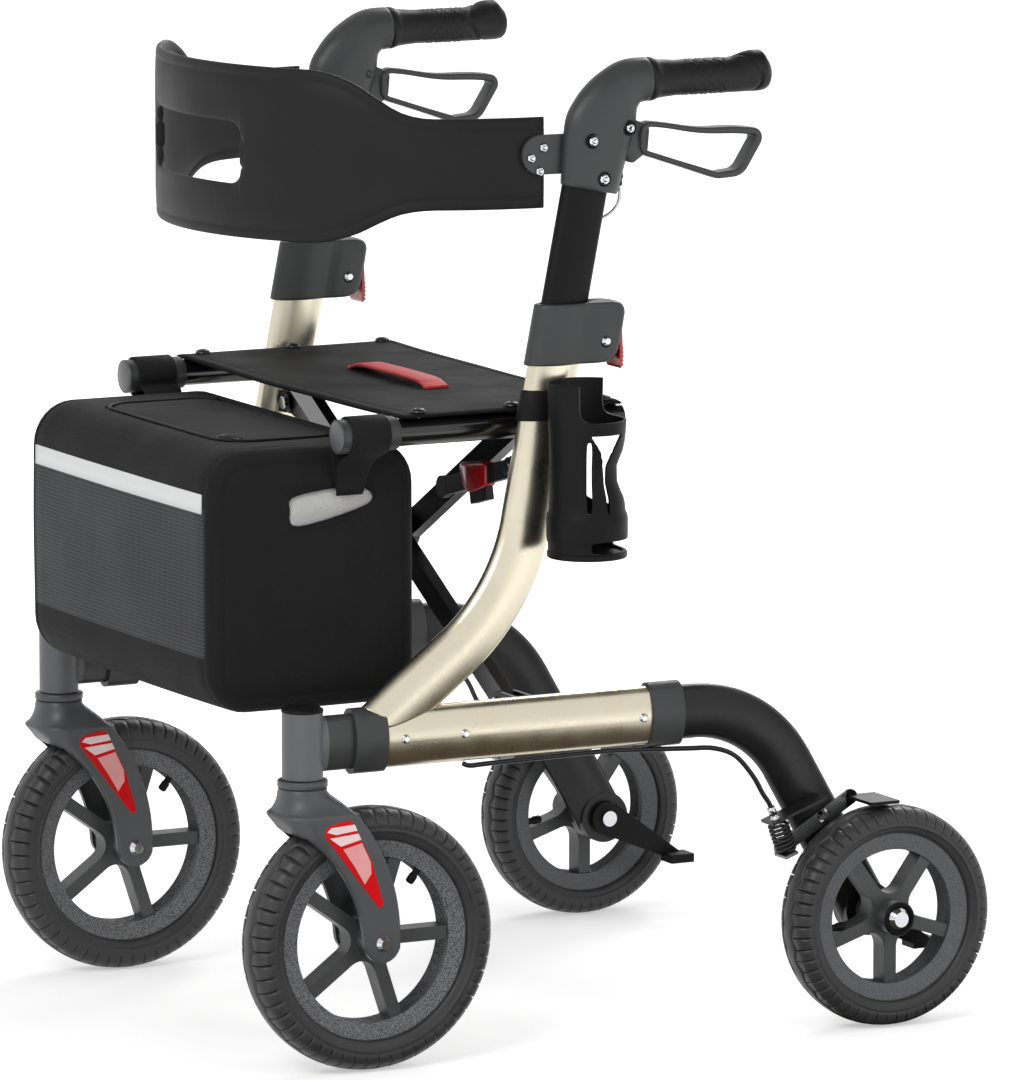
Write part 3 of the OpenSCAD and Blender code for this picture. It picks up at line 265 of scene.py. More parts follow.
# Black oxide wire of the return springs
spring_wire = finish("black_oxide_spring_wire", "#141415", "#1B1B1C", 8, (0.4, 0.5), 0.6, 0.01, edge=0.3)
# Black zinc plate on the seat's screws and the zip's pull
dark_steel = finish("black_zinc_steel", "#3A3B3D", "#48494B", 10, (0.26, 0.36), 0.6, 0.01, edge=0.5,
                    Metallic=0.85)
# PVC housing of the brake cables
cable_pvc = finish("pvc_black", "#101011", "#161617", 15, (0.28, 0.36), 0.8, 0.01)
# Bare stainless outer of the short bow of cable under each handle
pale_cable = finish("stainless_cable_outer", "#B9BBBD", "#CBCDCF", 10, (0.2, 0.3), 0.9, 0.02, edge=0.2,
                    Metallic=1.0)
# Bag cloth: coated 600 denier polyester, almost smooth from a distance
bag_cloth = woven("polyester_canvas_black", "#1C1C1D", "#232324", 0.9, 0.12, (0.62, 0.74),
                  Specular_IOR_Level=0.1, Sheen_Weight=0.02)
# Spacer mesh of the bag's front panel
spacer_mesh = mesh_cloth()
# Seat cloth: heavy nylon
seat_cloth = woven("nylon_oxford_black", "#121213", "#181819", 1.2, 0.16, (0.55, 0.68),
                   Specular_IOR_Level=0.08)
# Backrest: EVA foam skinned with a smooth knitted cloth
back_cloth = woven("knitted_foam_skin_black", "#131314", "#19191A", 1.0, 0.02, (0.5, 0.62),
                   Specular_IOR_Level=0.22, Sheen_Weight=0.08)
# Red polyester webbing
red_web = woven("polyester_webbing_red", "#C2151B", "#D5232A", 1.6, 0.3, (0.45, 0.6), Sheen_Weight=0.1)
# Nylon net of the side windows: pale threads
white_net = finish("nylon_net_white", "#E2E2E0", "#EEEEEC", 8, (0.5, 0.6), 0.4, 0.01, edge=0.1)
# Silver glass-bead reflective tape
white_tape = finish("reflective_tape_white", "#F2F3F4", "#FAFAFA", 20, (0.3, 0.4), 0.5, 0.01, edge=0.2)
# Moulded acrylic reflectors: gloss red; the pale and pink patches on their prism facets are painted
# highlights
red_lens = finish("acrylic_red", "#D20A14", "#E0121B", 30, (0.1, 0.16), 0.8, 0.004, edge=0.5,
                  Specular_IOR_Level=0.3, Coat_Weight=0.15, Coat_Roughness=0.05)
# Painted highlights: pale and pink colours laid on thin patches where the prism facets would catch the
# light
painted_highlight_pale = finish("acrylic_red_painted_highlight_pale", "#F6D9D8", "#FBE6E5", 20, (0.1, 0.16), 0.8, 0.004, edge=0.2)
painted_highlight_pink = finish("acrylic_red_painted_highlight_pink", "#EE9A98", "#F4B4B2", 20, (0.1, 0.16), 0.8, 0.004, edge=0.2)


# Curves and shapes. A shape is a pair of points, in millimetres, and faces


def arc(start, end, steps):
    """Angles in radians from a start to an end in degrees."""
    return [math.radians(start + (end - start) * k / steps) for k in range(steps + 1)]


def turns(count):
    """Angles of evenly spaced points round a circle."""
    return [TURN * k / count for k in range(count)]


def polar(centre, radius, angle):
    """Point of a circle about a centre."""
    return centre[0] + radius * math.cos(angle), centre[1] + radius * math.sin(angle)


def ease(value, low, high):
    """0 below low, 1 above high, and a smooth step between them."""
    t = min(1, max(0, (value - low) / (high - low)))
    return t * t * (3 - 2 * t)


def fillet(radius, edge):
    """How far a rounded corner draws in at a distance from its edge."""
    return radius - math.sqrt(max(0, radius ** 2 - max(0, radius - edge) ** 2))


def between(table, at):
    """Reads a table of (place, value, ...) rows at a place, straight between its rows."""
    for row, after in zip(table, table[1:]):
        if at <= after[0]:
            share = max(0, (at - row[0]) / (after[0] - row[0]))
            return tuple(a + (b - a) * share for a, b in zip(row[1:], after[1:]))
    return tuple(table[-1][1:])


def smooth_path(points, steps):
    """Catmull-Rom curve through points of any dimension."""
    out = []
    last = len(points) - 1
    for i in range(last):
        a, b, c, d = (points[max(i - 1, 0)], points[i], points[i + 1], points[min(i + 2, last)])
        for k in range(steps):
            t = k / steps
            out.append(tuple(0.5 * (2 * q + (r - p) * t + (2 * p - 5 * q + 4 * r - s) * t * t
                                    + (3 * q - p - 3 * r + s) * t ** 3) for p, q, r, s in zip(a, b, c, d)))
    out.append(tuple(points[-1]))
    return out


def heading(path, i):
    """Direction of an open path at one of its points."""
    return (Vector(path[min(i + 1, len(path) - 1)]) - Vector(path[max(i - 1, 0)])).normalized()


def hull_path(circles, count):
    """Evenly spaced closed path round a string of circles (y, z, radius) pulled tight like a belt."""
    outline = []
    for k in range(360):
        a = math.radians(k)
        reach = max(circles, key=lambda c: c[0] * math.cos(a) + c[1] * math.sin(a) + c[2])
        outline.append(Vector(polar(reach, reach[2], a)))
    lengths = [0.0]
    for p, q in zip(outline, outline[1:] + outline[:1]):
        lengths.append(lengths[-1] + (q - p).length)
    path = []
    for k in range(count):
        goal = lengths[-1] * k / count
        i = max(j for j in range(360) if lengths[j] <= goal)
        share = (goal - lengths[i]) / max(1e-6, lengths[i + 1] - lengths[i])
        path.append(outline[i].lerp(outline[(i + 1) % 360], share))
    return path


def rounded_box(width, height, radius, count, flat=1):
    """Outline of a rounded rectangle about its middle: count steps a corner, flat steps a side."""
    corners = [[polar((cx * (width / 2 - radius), cy * (height / 2 - radius)), radius, a)
                for a in arc(start, start + 90, count)]
               for cx, cy, start in ((1, 1, 0), (-1, 1, 90), (-1, -1, 180), (1, -1, 270))]
    points = []
    for corner, ahead in zip(corners, corners[1:] + corners[:1]):
        points += corner
        points += [tuple(a + (b - a) * k / flat for a, b in zip(corner[-1], ahead[0]))
                   for k in range(1, flat)]
    return points


def loft(rings, around=False):
    """Skin over closed rings of equal length: its ends are filled, or the last ring joins the first."""
    count = len(rings[0])
    points = [p for ring in rings for p in ring]
    faces = []
    for i in range(len(rings) if around else len(rings) - 1):
        here, there = i * count, (i + 1) % len(rings) * count
        for k in range(count):
            after = (k + 1) % count
            faces.append((here + k, here + after, there + after, there + k))
    if not around:
        faces.append(tuple(range(count)))
        faces.append(tuple(range((len(rings) - 1) * count, len(rings) * count)))
    return points, faces


def circle(middle, across, up, radius, sides, flat=1.0):
    """Ring of points about a middle, in the plane of two directions, flattened along the second."""
    return [tuple(middle + radius * (across * math.cos(a) + flat * up * math.sin(a))) for a in turns(sides)]


def tube(path, radius, sides, flat=1.0):
    """Round or flattened tube along a free path; radius may be one value or a list, one per point."""
    rings = []
    across = heading(path, 0).orthogonal().normalized()
    for i, point in enumerate(path):
        ahead = heading(path, i)
        across = (across - ahead * across.dot(ahead)).normalized()
        size = radius[i] if isinstance(radius, list) else radius
        rings.append(circle(Vector(point), across, ahead.cross(across), size, sides, flat))
    return loft(rings)


def lathe(profile, base, axis, sides):
    """Turned shape: profile of (radius, height) pairs along an axis from a base point."""
    along = Vector(axis).normalized()
    across = along.orthogonal().normalized()
    up = along.cross(across)
    return loft([circle(Vector(base) + along * height, across, up, max(radius, 0.01), sides)
                 for radius, height in profile])


def prism(outline, x0, x1):
    """Plate along X from a side-view outline of (y, z) points."""
    return loft([[(x, y, z) for y, z in outline] for x in (x0, x1)])


def joined(shapes):
    """Several shapes as one."""
    points, faces = [], []
    for more_points, more_faces in shapes:
        start = len(points)
        points += more_points
        faces += [tuple(start + i for i in face) for face in more_faces]
    return points, faces


def on_frame(shape, side):
    """Sets a shape that is in a side frame's own x, which grows outwards, on that frame."""
    points, faces = shape
    return [(SIGN[side] * (FRAME_X + x), y, z) for x, y, z in points], faces


# Pieces


def piece(name, shape, look, body, replaced=(), smooth=True, slot=None):
    """Makes one piece of a shape, gives it one finish or a list of them and lets it ride on a body."""
    points, faces = shape
    mesh = bpy.data.meshes.new(name)
    mesh.from_pydata([(x * MM, y * MM, z * MM) for x, y, z in points], [], faces)
    mesh.validate()
    shell = bmesh.new()
    shell.from_mesh(mesh)
    bmesh.ops.recalc_face_normals(shell, faces=shell.faces)
    shell.to_mesh(mesh)
    shell.free()
    mesh.polygons.foreach_set("use_smooth", [smooth] * len(mesh.polygons))
    thing = bpy.data.objects.new(name, mesh)
    bpy.context.scene.collection.objects.link(thing)
    for own in look if isinstance(look, list) else [look]:
        mesh.materials.append(own)
    if body:
        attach(thing, body)
    if replaced:
        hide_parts(*replaced)
    return thing


def side_piece(name, side, shape, look, body, node=None, **more):
    """A piece on one side frame: its name, its body and the node that it replaces end in the side."""
    replaced = [f"{node}_{side}"] if node else ()
    return piece(f"{name}_{side}", on_frame(shape, side), look, f"{body}_{side}", replaced, **more)


def apply_modifiers(thing):
    """Turns the modified shape into the piece's own mesh."""
    bpy.context.view_layer.update()
    shown = thing.evaluated_get(bpy.context.evaluated_depsgraph_get())
    made = bpy.data.meshes.new_from_object(shown)
    thing.modifiers.clear()
    thing.data = made


def round_edges(thing, width, segments, angle):
    """Adds a rounding, its width in mm, to the edges that are sharper than an angle in degrees."""
    modifier = thing.modifiers.new("rounded_edges", "BEVEL")
    modifier.width = width * MM
    modifier.segments = segments
    modifier.limit_method = "ANGLE"
    modifier.angle_limit = math.radians(angle)
    modifier.harden_normals = True


def bevel_edges(thing, width, segments, angle):
    """Rounds the hard edges of a piece's own mesh."""
    round_edges(thing, width, segments, angle)
    apply_modifiers(thing)


def cut(thing, shape):
    """Takes a shape's volume out of a piece."""
    cutter = piece("cutter", shape, thing.data.materials[0], None)
    modifier = thing.modifiers.new("cut", "BOOLEAN")
    modifier.operation = "DIFFERENCE"
    modifier.solver = "EXACT"
    modifier.object = cutter
    apply_modifiers(thing)
    bpy.data.objects.remove(cutter)


def shade_by_angle(thing, angle):
    """Smooth shading that keeps an edge sharper than an angle in degrees."""
    shell = bmesh.new()
    shell.from_mesh(thing.data)
    for face in shell.faces:
        face.smooth = True
    for edge in shell.edges:
        edge.smooth = edge.calc_face_angle(0) < math.radians(angle)
    shell.to_mesh(thing.data)
    shell.free()


# Camera, light and floor. Places and lamp sizes are in metres


def stand(thing, place, aim, front="-Z"):
    """Puts a thing at a place, with one of its axes towards an aim."""
    thing.location = place
    thing.rotation_euler = (Vector(aim) - Vector(place)).to_track_quat(front, "Y").to_euler()


camera_data = bpy.data.cameras.new("camera")
camera_data.sensor_fit = "VERTICAL"
camera_data.sensor_height = 36
camera_data.sensor_width = 36
camera_data.lens = 312.74
camera_data.clip_end = 200
camera = bpy.data.objects.new("camera", camera_data)
stand(camera, (8.1100, -4.1491, 1.8605), (0, 0.029085, 0.450151))
bpy.context.scene.collection.objects.link(camera)
bpy.context.scene.camera = camera
bpy.context.scene.view_settings.view_transform = "Standard"


def lamp(name, place, aim, size, power, mirrored=True):
    """Rectangular softbox, which shiny surfaces mirror or not."""
    data = bpy.data.lights.new(name, "AREA")
    data.shape = "RECTANGLE"
    data.size, data.size_y = size
    data.energy = power
    thing = bpy.data.objects.new(name, data)
    stand(thing, place, aim)
    thing.visible_glossy = mirrored
    bpy.context.scene.collection.objects.link(thing)


lamp("key_softbox", (2.2, -3.2, 3.2), (0, 0, 0.5), (1.6, 1.6), 62)
# Not mirrored, so that the lacquered rails keep their colour
lamp("fill_softbox", (3.6, 1.6, 1.8), (0, 0, 0.5), (1.0, 2.2), 42, mirrored=False)
lamp("back_strip", (-2.2, 2.2, 2.6), (0, 0, 0.6), (0.8, 2.2), 34)
lamp("top_softbox", (0, 0, 3.6), (0, 0, 0), (2.2, 2.2), 22)


def seen(tree, *kinds):
    """1 where a ray is of one of the kinds that show a surface as it looks, 0 where it only lights."""
    ray = add(tree, "ShaderNodeLightPath")
    total = 0.0
    for kind in kinds:
        either = add(tree, "ShaderNodeMath", {0: total, 1: ray.outputs[kind]}, operation="MAXIMUM")
        total = either.outputs[0]
    return total


def white_room():
    """White surroundings that light less than they show."""
    world = bpy.data.worlds.new("room")
    bpy.context.scene.world = world
    world.use_nodes = True
    tree = world.node_tree
    tree.nodes.clear()
    shown = seen(tree, "Is Camera Ray", "Is Glossy Ray", "Is Transmission Ray")
    level = add(tree, "ShaderNodeMapRange", {"Value": shown, "To Min": 0.36, "To Max": 1.0})
    light = add(tree, "ShaderNodeBackground", {"Color": (1, 1, 1, 1), "Strength": level.outputs["Result"]})
    add(tree, "ShaderNodeOutputWorld", {"Surface": light.outputs[0]})


def card(name, width, height, look):
    """Flat sheet of the set, which faces up; its sizes are in mm."""
    x, y = width / 2, height / 2
    thing = piece(name, ([(-x, -y, 0), (x, -y, 0), (x, y, 0), (-x, y, 0)], [(0, 1, 2, 3)]), look, None)
    return thing


def dark_card(name, place, aim, width, height, code):
    """Brown card that stands beside the set, out of view, so that metal mirrors a darker band."""
    thing = card(name, width, height, plain("brown_card", Base_Color=linear(code), Roughness=1.0))
    stand(thing, place, aim, "Z")
    thing.visible_camera = False
    thing.visible_shadow = False
    thing.visible_diffuse = False


def pale_floor():
    """White floor that keeps the shadow near the object and fades to plain white away from it."""
    material = plain("floor_white", Base_Color=linear("#F4F4F4"), Roughness=0.9, Specular_IOR_Level=0.1,
                     Emission_Color=(1, 1, 1, 1))
    tree = material.node_tree
    place = add(tree, "ShaderNodeTexCoord").outputs["Object"]
    far = add(tree, "ShaderNodeVectorMath", {0: place}, operation="LENGTH").outputs["Value"]
    fade = add(tree, "ShaderNodeMapRange", {"Value": far, "From Min": 0.9, "From Max": 3.0, "To Min": 0.46,
                                            "To Max": 1.0})
    glow = add(tree, "ShaderNodeMath", {0: seen(tree, "Is Camera Ray", "Is Glossy Ray"),
                                        1: fade.outputs["Result"]}, operation="MULTIPLY")
    feed(tree, "Emission Strength", glow.outputs[0])
    card("floor", 60000, 60000, material)


white_room()
dark_card("brown_card_right", (1.6, 3.0, 0.9), (0, 0, 0.5), 900, 2600, "#3E3528")
dark_card("brown_card_left", (2.6, -4.6, 0.7), (0, 0, 0.5), 700, 1500, "#5E5442")
dark_card("brown_card_above", (0.5, 0, 2.4), (0.5, 0.001, 0), 3000, 3000, "#4E4434")
dark_card("brown_card_low", (1.05, 0, 0.002), (1.05, 0.001, 2), 1500, 900, "#4E4434")
pale_floor()


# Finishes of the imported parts

FINISH_OF = {
    "lower_rail": gold, "upright": gold, "rail_collars": grey_nylon, "caster_head": head_nylon,
    "rear_leg": black_tube, "curb_pedal": black_moulding, "fold_brackets": black_tube,
    # The handle tubes take the darker copy of the black coat, a painted shade
    "height_clamp": grey_nylon, "handle_tube": shaded_tube, "height_lever": red_abs,
    "brake_bar": bar_steel, "fork": fork_nylon, "front_hub": front_hub, "rear_hub": rear_hub,
    "seat_rail_arm": gloss_tube, "rail_end_cap": grey_nylon, "fold_stay": black_tube,
    "cross_pivot": chrome, "cup_holder": black_moulding, "frame_fasteners": chrome, "front_axle": chrome,
    "handle_elbow": grey_nylon, "grip": grip_rubber, "brake_lever": grey_nylon,
    "brake_cable": cable_pvc, "brake_spring": spring_wire, "fork_reflectors": red_lens,
    "front_tyre": tyre_rubber, "rear_tyre": tyre_rubber, "seat_panel": seat_cloth,
    "backrest": back_cloth, "bag_shell": bag_cloth, "bag_lid": bag_cloth,
}
for name, thing in cad.items():
    own = FINISH_OF[name.removesuffix("_left").removesuffix("_right")]
    if not thing.material_slots:
        thing.data.materials.append(own)
    for place in thing.material_slots:
        place.material = own


def soft_edges(node, width, segments):
    """Rounds the sharp edges of a part that keeps its own shape."""
    thing = cad[node]
    merge = thing.modifiers.new("flat_faces", "DECIMATE")
    merge.decimate_type = "DISSOLVE"
    merge.angle_limit = math.radians(1.5)
    round_edges(thing, width, segments, 32)


for side in SIGN:
    soft_edges(f"rail_collars_{side}", 0.8, 2)
    soft_edges(f"curb_pedal_{side}", 1.2, 2)
    soft_edges(f"rail_end_cap_{side}", 1.2, 3)


# Tyres

LUGS = 56
# Where the columns of one lug stand, as shares of it: close together beside the slit
LUG_COLUMNS = (0.0, 0.085, 0.105, 0.36, 0.62, 0.88, 0.98)
# Half of the front tyre's section: (radius, distance from the middle plane)
SIDEWALL = ((97.2, 19.0), (98.5, 20.6), (102.5, 21.8), (104.2, 22.2), (105.0, 23.4), (106.6, 23.8),
            (108.0, 23.2), (110.0, 23.9), (113.0, 24.2), (116.5, 23.5), (119.6, 21.6), (122.2, 18.8),
            (124.2, 15.6))
# Slits across the shoulder: they deepen from a radius on, over a run
SLIT_DEPTH = 4.6
SLIT_START = 112.5
SLIT_RUN = 3.5
# Zigzag groove beside the middle rib: how far out it lies and how far it swings
GROOVE_X = 8.6
GROOVE_SWING = 2.6
GROOVE_DEPTH = 3.4
GROOVE_HALF = 1.0
RIB_HALF = 3.0


def crown_radius(x):
    """Radius of the rounded tread at a distance from the middle plane."""
    return FRONT_R - 0.0115 * x * x


def tyre_half(lug, share, even):
    """Points (radius, x) from the rim's edge to the crown at one place of a lug."""
    swing = 4 * abs((lug % 2 + share) / 2 - 0.5) - 1
    groove = GROOVE_X + GROOVE_SWING * (swing if even else -swing)
    slit = SLIT_DEPTH if share < 0.1 else 0.0
    half = []
    for r, x in SIDEWALL:
        drop = slit * min(1, max(0, (r - SLIT_START) / SLIT_RUN))
        half.append((r - 0.75 * drop, x - 0.65 * drop))
    barb = slit if lug % 2 == 0 else 0.0
    for x, drop in ((groove + GROOVE_HALF, barb), (groove, GROOVE_DEPTH), (groove - GROOVE_HALF, 0),
                    (RIB_HALF, 0)):
        half.append((crown_radius(x) - drop, x))
    return half


def tyre(wheel, side, middle_x, centre, outer, rim):
    """Treaded tyre: the front tyre's section, squeezed to fit between a wheel's own two radii."""
    squeeze = (outer - rim) / (FRONT_R - FRONT_RIM_R)
    rings = []
    for lug in range(LUGS):
        for share in LUG_COLUMNS:
            near = tyre_half(lug, share, True)
            far = tyre_half(lug, share, False)
            section = near + [(FRONT_R, 0.0)] + [(r, -x) for r, x in reversed(far)]
            angle = TURN * (lug + share) / LUGS
            rings.append([(middle_x + x, *polar(centre, outer - (FRONT_R - r) * squeeze, angle))
                          for r, x in section])
    piece(f"{wheel}_tyre_treaded_{side}", loft(rings, around=True), tyre_rubber, f"{wheel}_wheel_{side}",
          [f"{wheel}_tyre_{side}"], slot="tyre_rubber")


def valve(wheel, side, middle_x, centre, rim_inner, degrees):
    """Rubber valve stub through the rim, pointing at the hub."""
    a = math.radians(degrees)
    profile = ((0, 0), (4.6, 0), (4.6, 6), (3.4, 8), (3.4, 14), (4.2, 15), (4.2, 22), (3, 23.5), (0, 24))
    base = (middle_x + 9, *polar(centre, rim_inner + 8, a))
    stub = lathe(profile, base, (0, -math.cos(a), -math.sin(a)), 20)
    piece(f"{wheel}_valve_{side}", stub, black_moulding, f"{wheel}_wheel_{side}")


for side, s in SIGN.items():
    tyre("front", side, s * FRAME_X, FRONT_WHEEL, FRONT_R, FRONT_RIM_R)
    tyre("rear", side, s * REAR_X, REAR_WHEEL, REAR_R, REAR_RIM_R)
    valve("front", side, s * FRAME_X, FRONT_WHEEL, 80, 52)
    valve("rear", side, s * REAR_X, REAR_WHEEL, 66, 186)


# Soft goods

BAG_HALF = 205
BAG_MIDDLE = (-281, 464)
BAG_DEPTH = 218
BAG_HEIGHT = 252
BAG_FRONT = BAG_MIDDLE[0] - BAG_DEPTH / 2
BAG_TOP = BAG_MIDDLE[1] + BAG_HEIGHT / 2
BAG_CORNER = 42
BAG_EDGE = 12
LID_Y = -281
LID_HALF = (150, 65)


def folds_flat(thing):
    """Gives a piece of fabric its own copy of its mesh."""
    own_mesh(thing)


def sagged(x, y, z):
    """Lets the bag's walls give: the floor hangs, the front bellies and the cloth ripples a little."""
    behind = (y - BAG_MIDDLE[0]) / (BAG_DEPTH / 2)
    above = (z - BAG_MIDDLE[1]) / (BAG_HEIGHT / 2)
    across = max(0, 1 - (x / BAG_HALF) ** 2)
    deep = max(0, 1 - behind ** 2)
    tall = max(0, 1 - above ** 2)
    front, back = max(0, -behind), max(0, behind)
    bottom, top = max(0, -above), max(0, above)
    ripple = 0.7 * math.sin(x / 33 + 0.8) * math.sin(z / 41 + y / 57)
    return (x, y - (4 * front ** 2 - 3 * back ** 2) * across * tall + ripple * front ** 2 * tall,
            z - (5 * bottom ** 2 + 1.5 * top ** 2) * across * deep)


def bag_ring(x, inset, share=1.0):
    """The bag's side view at one x, drawn in by an inset and shrunk to a share of its size."""
    outline = rounded_box(BAG_DEPTH - 2 * inset, BAG_HEIGHT - 2 * inset, BAG_CORNER - inset, 8, 14)
    return [(x, BAG_MIDDLE[0] + y * share, BAG_MIDDLE[1] + z * share) for y, z in outline]


def bag_stations():
    """(x, inset, share) from the middle of one side panel across the bag to the other."""
    side = [(BAG_HALF - 3.5, 16, 0.02), (BAG_HALF - 3.2, 16, 0.3), (BAG_HALF - 2.2, 16, 0.6),
            (BAG_HALF - 0.8, 16, 0.85), (BAG_HALF, 16, 1.0), (BAG_HALF - 1.3, 14.6, 1.0)]
    wall = BAG_HALF - BAG_EDGE
    side += [(wall + BAG_EDGE * math.sin(a), BAG_EDGE * (1 - math.cos(a)), 1.0) for a in arc(90, 0, 5)]
    side += [(wall - 2.5, 1.1, 1.0), (wall - 5, 0, 1.0)]
    middle = [((wall - 5) * (1 - k / 12), 0, 1.0) for k in range(1, 24)]
    return side + middle + [(-x, inset, share) for x, inset, share in reversed(side)]


def window_outline(grow):
    """Slanted see-through window of the side panel, (y, z)."""
    corners = ((-304.6, 530.7), (-295.2, 513.8), (-223.1, 529.9), (-222.0, 544.2), (-247.5, 548.8),
               (-299.3, 542.8))
    middle = Vector([sum(c[i] for c in corners) / 6 for i in (0, 1)])
    grown = []
    for corner in corners:
        away = Vector(corner) - middle
        grown.append(tuple(middle + away + away.normalized() * grow))
    return smooth_path(grown[-1:] + grown + grown[:2], 5)[5:-5]


def bag():
    """Bag: a thin-walled body with its mouth and side windows cut out and a mesh panel in front."""
    body = loft([[sagged(*p) for p in bag_ring(*station)] for station in bag_stations()])
    shell = piece("bag_body", body, [bag_cloth, spacer_mesh], "bag", ["bag_shell"], slot="black_fabric")
    for face in shell.data.polygons:
        x, y, z = [c / MM for c in face.center]
        if y < BAG_FRONT + 10 and 388 < z < 531 and abs(x) < 193:
            face.material_index = 1
    wall = shell.modifiers.new("cloth", "SOLIDIFY")
    wall.thickness = 3 * MM
    wall.offset = -1
    apply_modifiers(shell)
    mouth = rounded_box(302, 132, 37, 8, 4)
    cut(shell, loft([[(x, LID_Y + y, z) for x, y in mouth] for z in (560, 620)]))
    for s in (1, -1):
        cut(shell, prism(window_outline(0), s * 190, s * 220))
    folds_flat(shell)


def bag_strip():
    """Bright tape sewn across the front, lifted off the cloth by its own thickness."""
    rows = []
    for z, lift in ((530, 0.3), (530.3, 1.0), (548.7, 1.0), (549, 0.3)):
        places = [sagged(-188.5 + 377 * k / 48, BAG_FRONT, z) for k in range(49)]
        rows.append([(x, y - lift, z) for x, y, z in places])
    rows += [[(x, y + 1.6, z) for x, y, z in row] for row in (rows[2], rows[1])]
    thing = piece("bag_reflective_tape", loft([list(column) for column in zip(*rows)]), white_tape, "bag")
    folds_flat(thing)


def inside(outline, y, z):
    """Whether a point lies in a closed outline."""
    odd = False
    for (ya, za), (yb, zb) in zip(outline, outline[1:] + outline[:1]):
        if (za > z) != (zb > z) and y < (yb - ya) * (z - za) / (zb - za) + ya:
            odd = not odd
    return odd


def window_net(side):
    """Net behind the side window: close rows of threads that cross at right angles."""
    outline = window_outline(3.0)
    mid_y, mid_z = [(min(places) + max(places)) / 2 for places in zip(*outline)]
    threads = []
    for slope in (1, -1):
        x = SIGN[side] * (BAG_HALF - 4.2 - 0.25 * slope)
        for k in range(-40, 41):
            run = [(x, mid_y + step + 0.9 * k, mid_z + slope * (step - 0.9 * k)) for step in range(-45, 46)]
            run = [p for p in run if inside(outline, p[1], p[2])]
            if len(run) > 1:
                threads.append(tube([run[0], run[-1]], 0.4, 4))
    folds_flat(piece(f"bag_window_net_{side}", joined(threads), white_net, "bag"))


def lid_outline(inset, share=1.0):
    """The lid's plan, drawn in by an inset and shrunk to a share of its size."""
    outline = rounded_box(2 * (LID_HALF[0] - inset), 2 * (LID_HALF[1] - inset), 36 - min(inset, 30), 8, 8)
    return [(x * share, LID_Y + y * share) for x, y in outline]


def lid_height(x, y):
    """Top of the lid: it follows the bag's sagged top and swells a little between the zip's sides."""
    swell = max(0, 1 - (x / LID_HALF[0]) ** 2) * max(0, 1 - ((y - LID_Y) / LID_HALF[1]) ** 2)
    return sagged(x, y, BAG_TOP)[2] + 1.2 * swell ** 0.5


def lid():
    """Zipped lid: a thin panel with a sewn rim, the zip's coil round three of its sides, and the pull."""
    # (inset, share, rise) of each ring, from under the middle round the rim to the middle of the top
    rows = ((20, 0.02, -3.4), (20, 0.5, -3.4), (20, 1.0, -3.4), (0.3, 1.0, -3.2), (0.3, 1.0, -1.6),
            (1.2, 1.0, -1.0), (7.5, 1.0, -0.9), (8.2, 1.0, 0.1), (9.5, 1.0, 0.6), (12, 1.0, 0.7),
            (20, 1.0, 0.7), (20, 0.75, 0.7), (20, 0.5, 0.7), (20, 0.25, 0.7), (20, 0.02, 0.7))
    panel = loft([[(x, y, lid_height(x, y) + rise) for x, y in lid_outline(inset, share)]
                  for inset, share, rise in rows])
    around = [(x, y, lid_height(x, y) + 0.2) for x, y in lid_outline(3.6)]
    front = min(range(len(around)), key=lambda i: around[i][1])
    track = [p for p in around[front:] + around[:front] if p[1] < LID_Y + LID_HALF[1] - 6]
    split = max(range(1, len(track)), key=lambda i: (Vector(track[i]) - Vector(track[i - 1])).length)
    coil = tube(track[split:] + track[:split], 1.9, 8)
    slider = lathe(((0, 0), (3.2, 0), (3.6, 1.2), (2.6, 3.2), (0, 3.4)), (118, -338, 589.5), UP, 16)
    tag = tube([(118, -338, 593), (126, -333, 593.6), (134, -328, 592.4), (141, -325, 592)],
               [1.4, 2.4, 2.6, 1.6], 10, flat=0.5)
    for thing in (piece("bag_lid_panel", panel, bag_cloth, "lid", ["bag_lid"], slot="black_fabric"),
                  piece("bag_zip", coil, black_moulding, "lid"),
                  piece("bag_zip_pull", joined([slider, tag]), dark_steel, "lid")):
        folds_flat(thing)


def bag_tab(side):
    """Webbing loop round the rail's end cap, sewn down on the bag's side."""
    rail_x, rail_z = SEAT_RAIL
    path = [(BAG_HALF + 0.6, 541), (BAG_HALF + 0.9, 560), (BAG_HALF + 1.2, 578), (BAG_HALF + 6, 590)]
    path += [polar(SEAT_RAIL, 18.0, a) for a in arc(205, -65, 14)]
    path += [(rail_x - 3, rail_z - 21), (BAG_HALF + 15, 574), (BAG_HALF + 6, 559), (BAG_HALF + 3, 544)]
    path = smooth_path(path, 3)
    # Corners of the webbing's section, as shares of its half width and half thickness
    section = ((-1, -0.5), (-1, 0.5), (-0.96, 1), (0.96, 1), (1, 0.5), (1, -0.5), (0.96, -1), (-0.96, -1))
    rings = []
    for i, (x, z) in enumerate(path):
        ahead = heading(path, i)
        lift = Vector((-ahead[1], ahead[0])) * 1.1
        half = 14 + 6 * ease(z, 541, 584)
        rings.append([(SIGN[side] * (x + lift[0] * up), -243 + across * half, z + lift[1] * up)
                      for across, up in section])
    folds_flat(piece(f"bag_tab_{side}", loft(rings), bag_cloth, "bag"))


bag()
bag_strip()
lid()
for side in SIGN:
    bag_tab(side)
    window_net(side)


SEAT_X = 250
SEAT_Y = (-209, 26)
SEAT_Z = (615.7, SEAT_TOP)
SEAT_SCREWS = (-186, -86, 13)
STRAP_Y = -88.5
STRAP_WIDTH = 26


def seat_dip(x, y):
    """How far the sling hangs below its rails."""
    return 2.2 * max(0, 1 - (x / 225) ** 2) + 0.35 * math.sin(x / 37) * math.sin(y / 29)


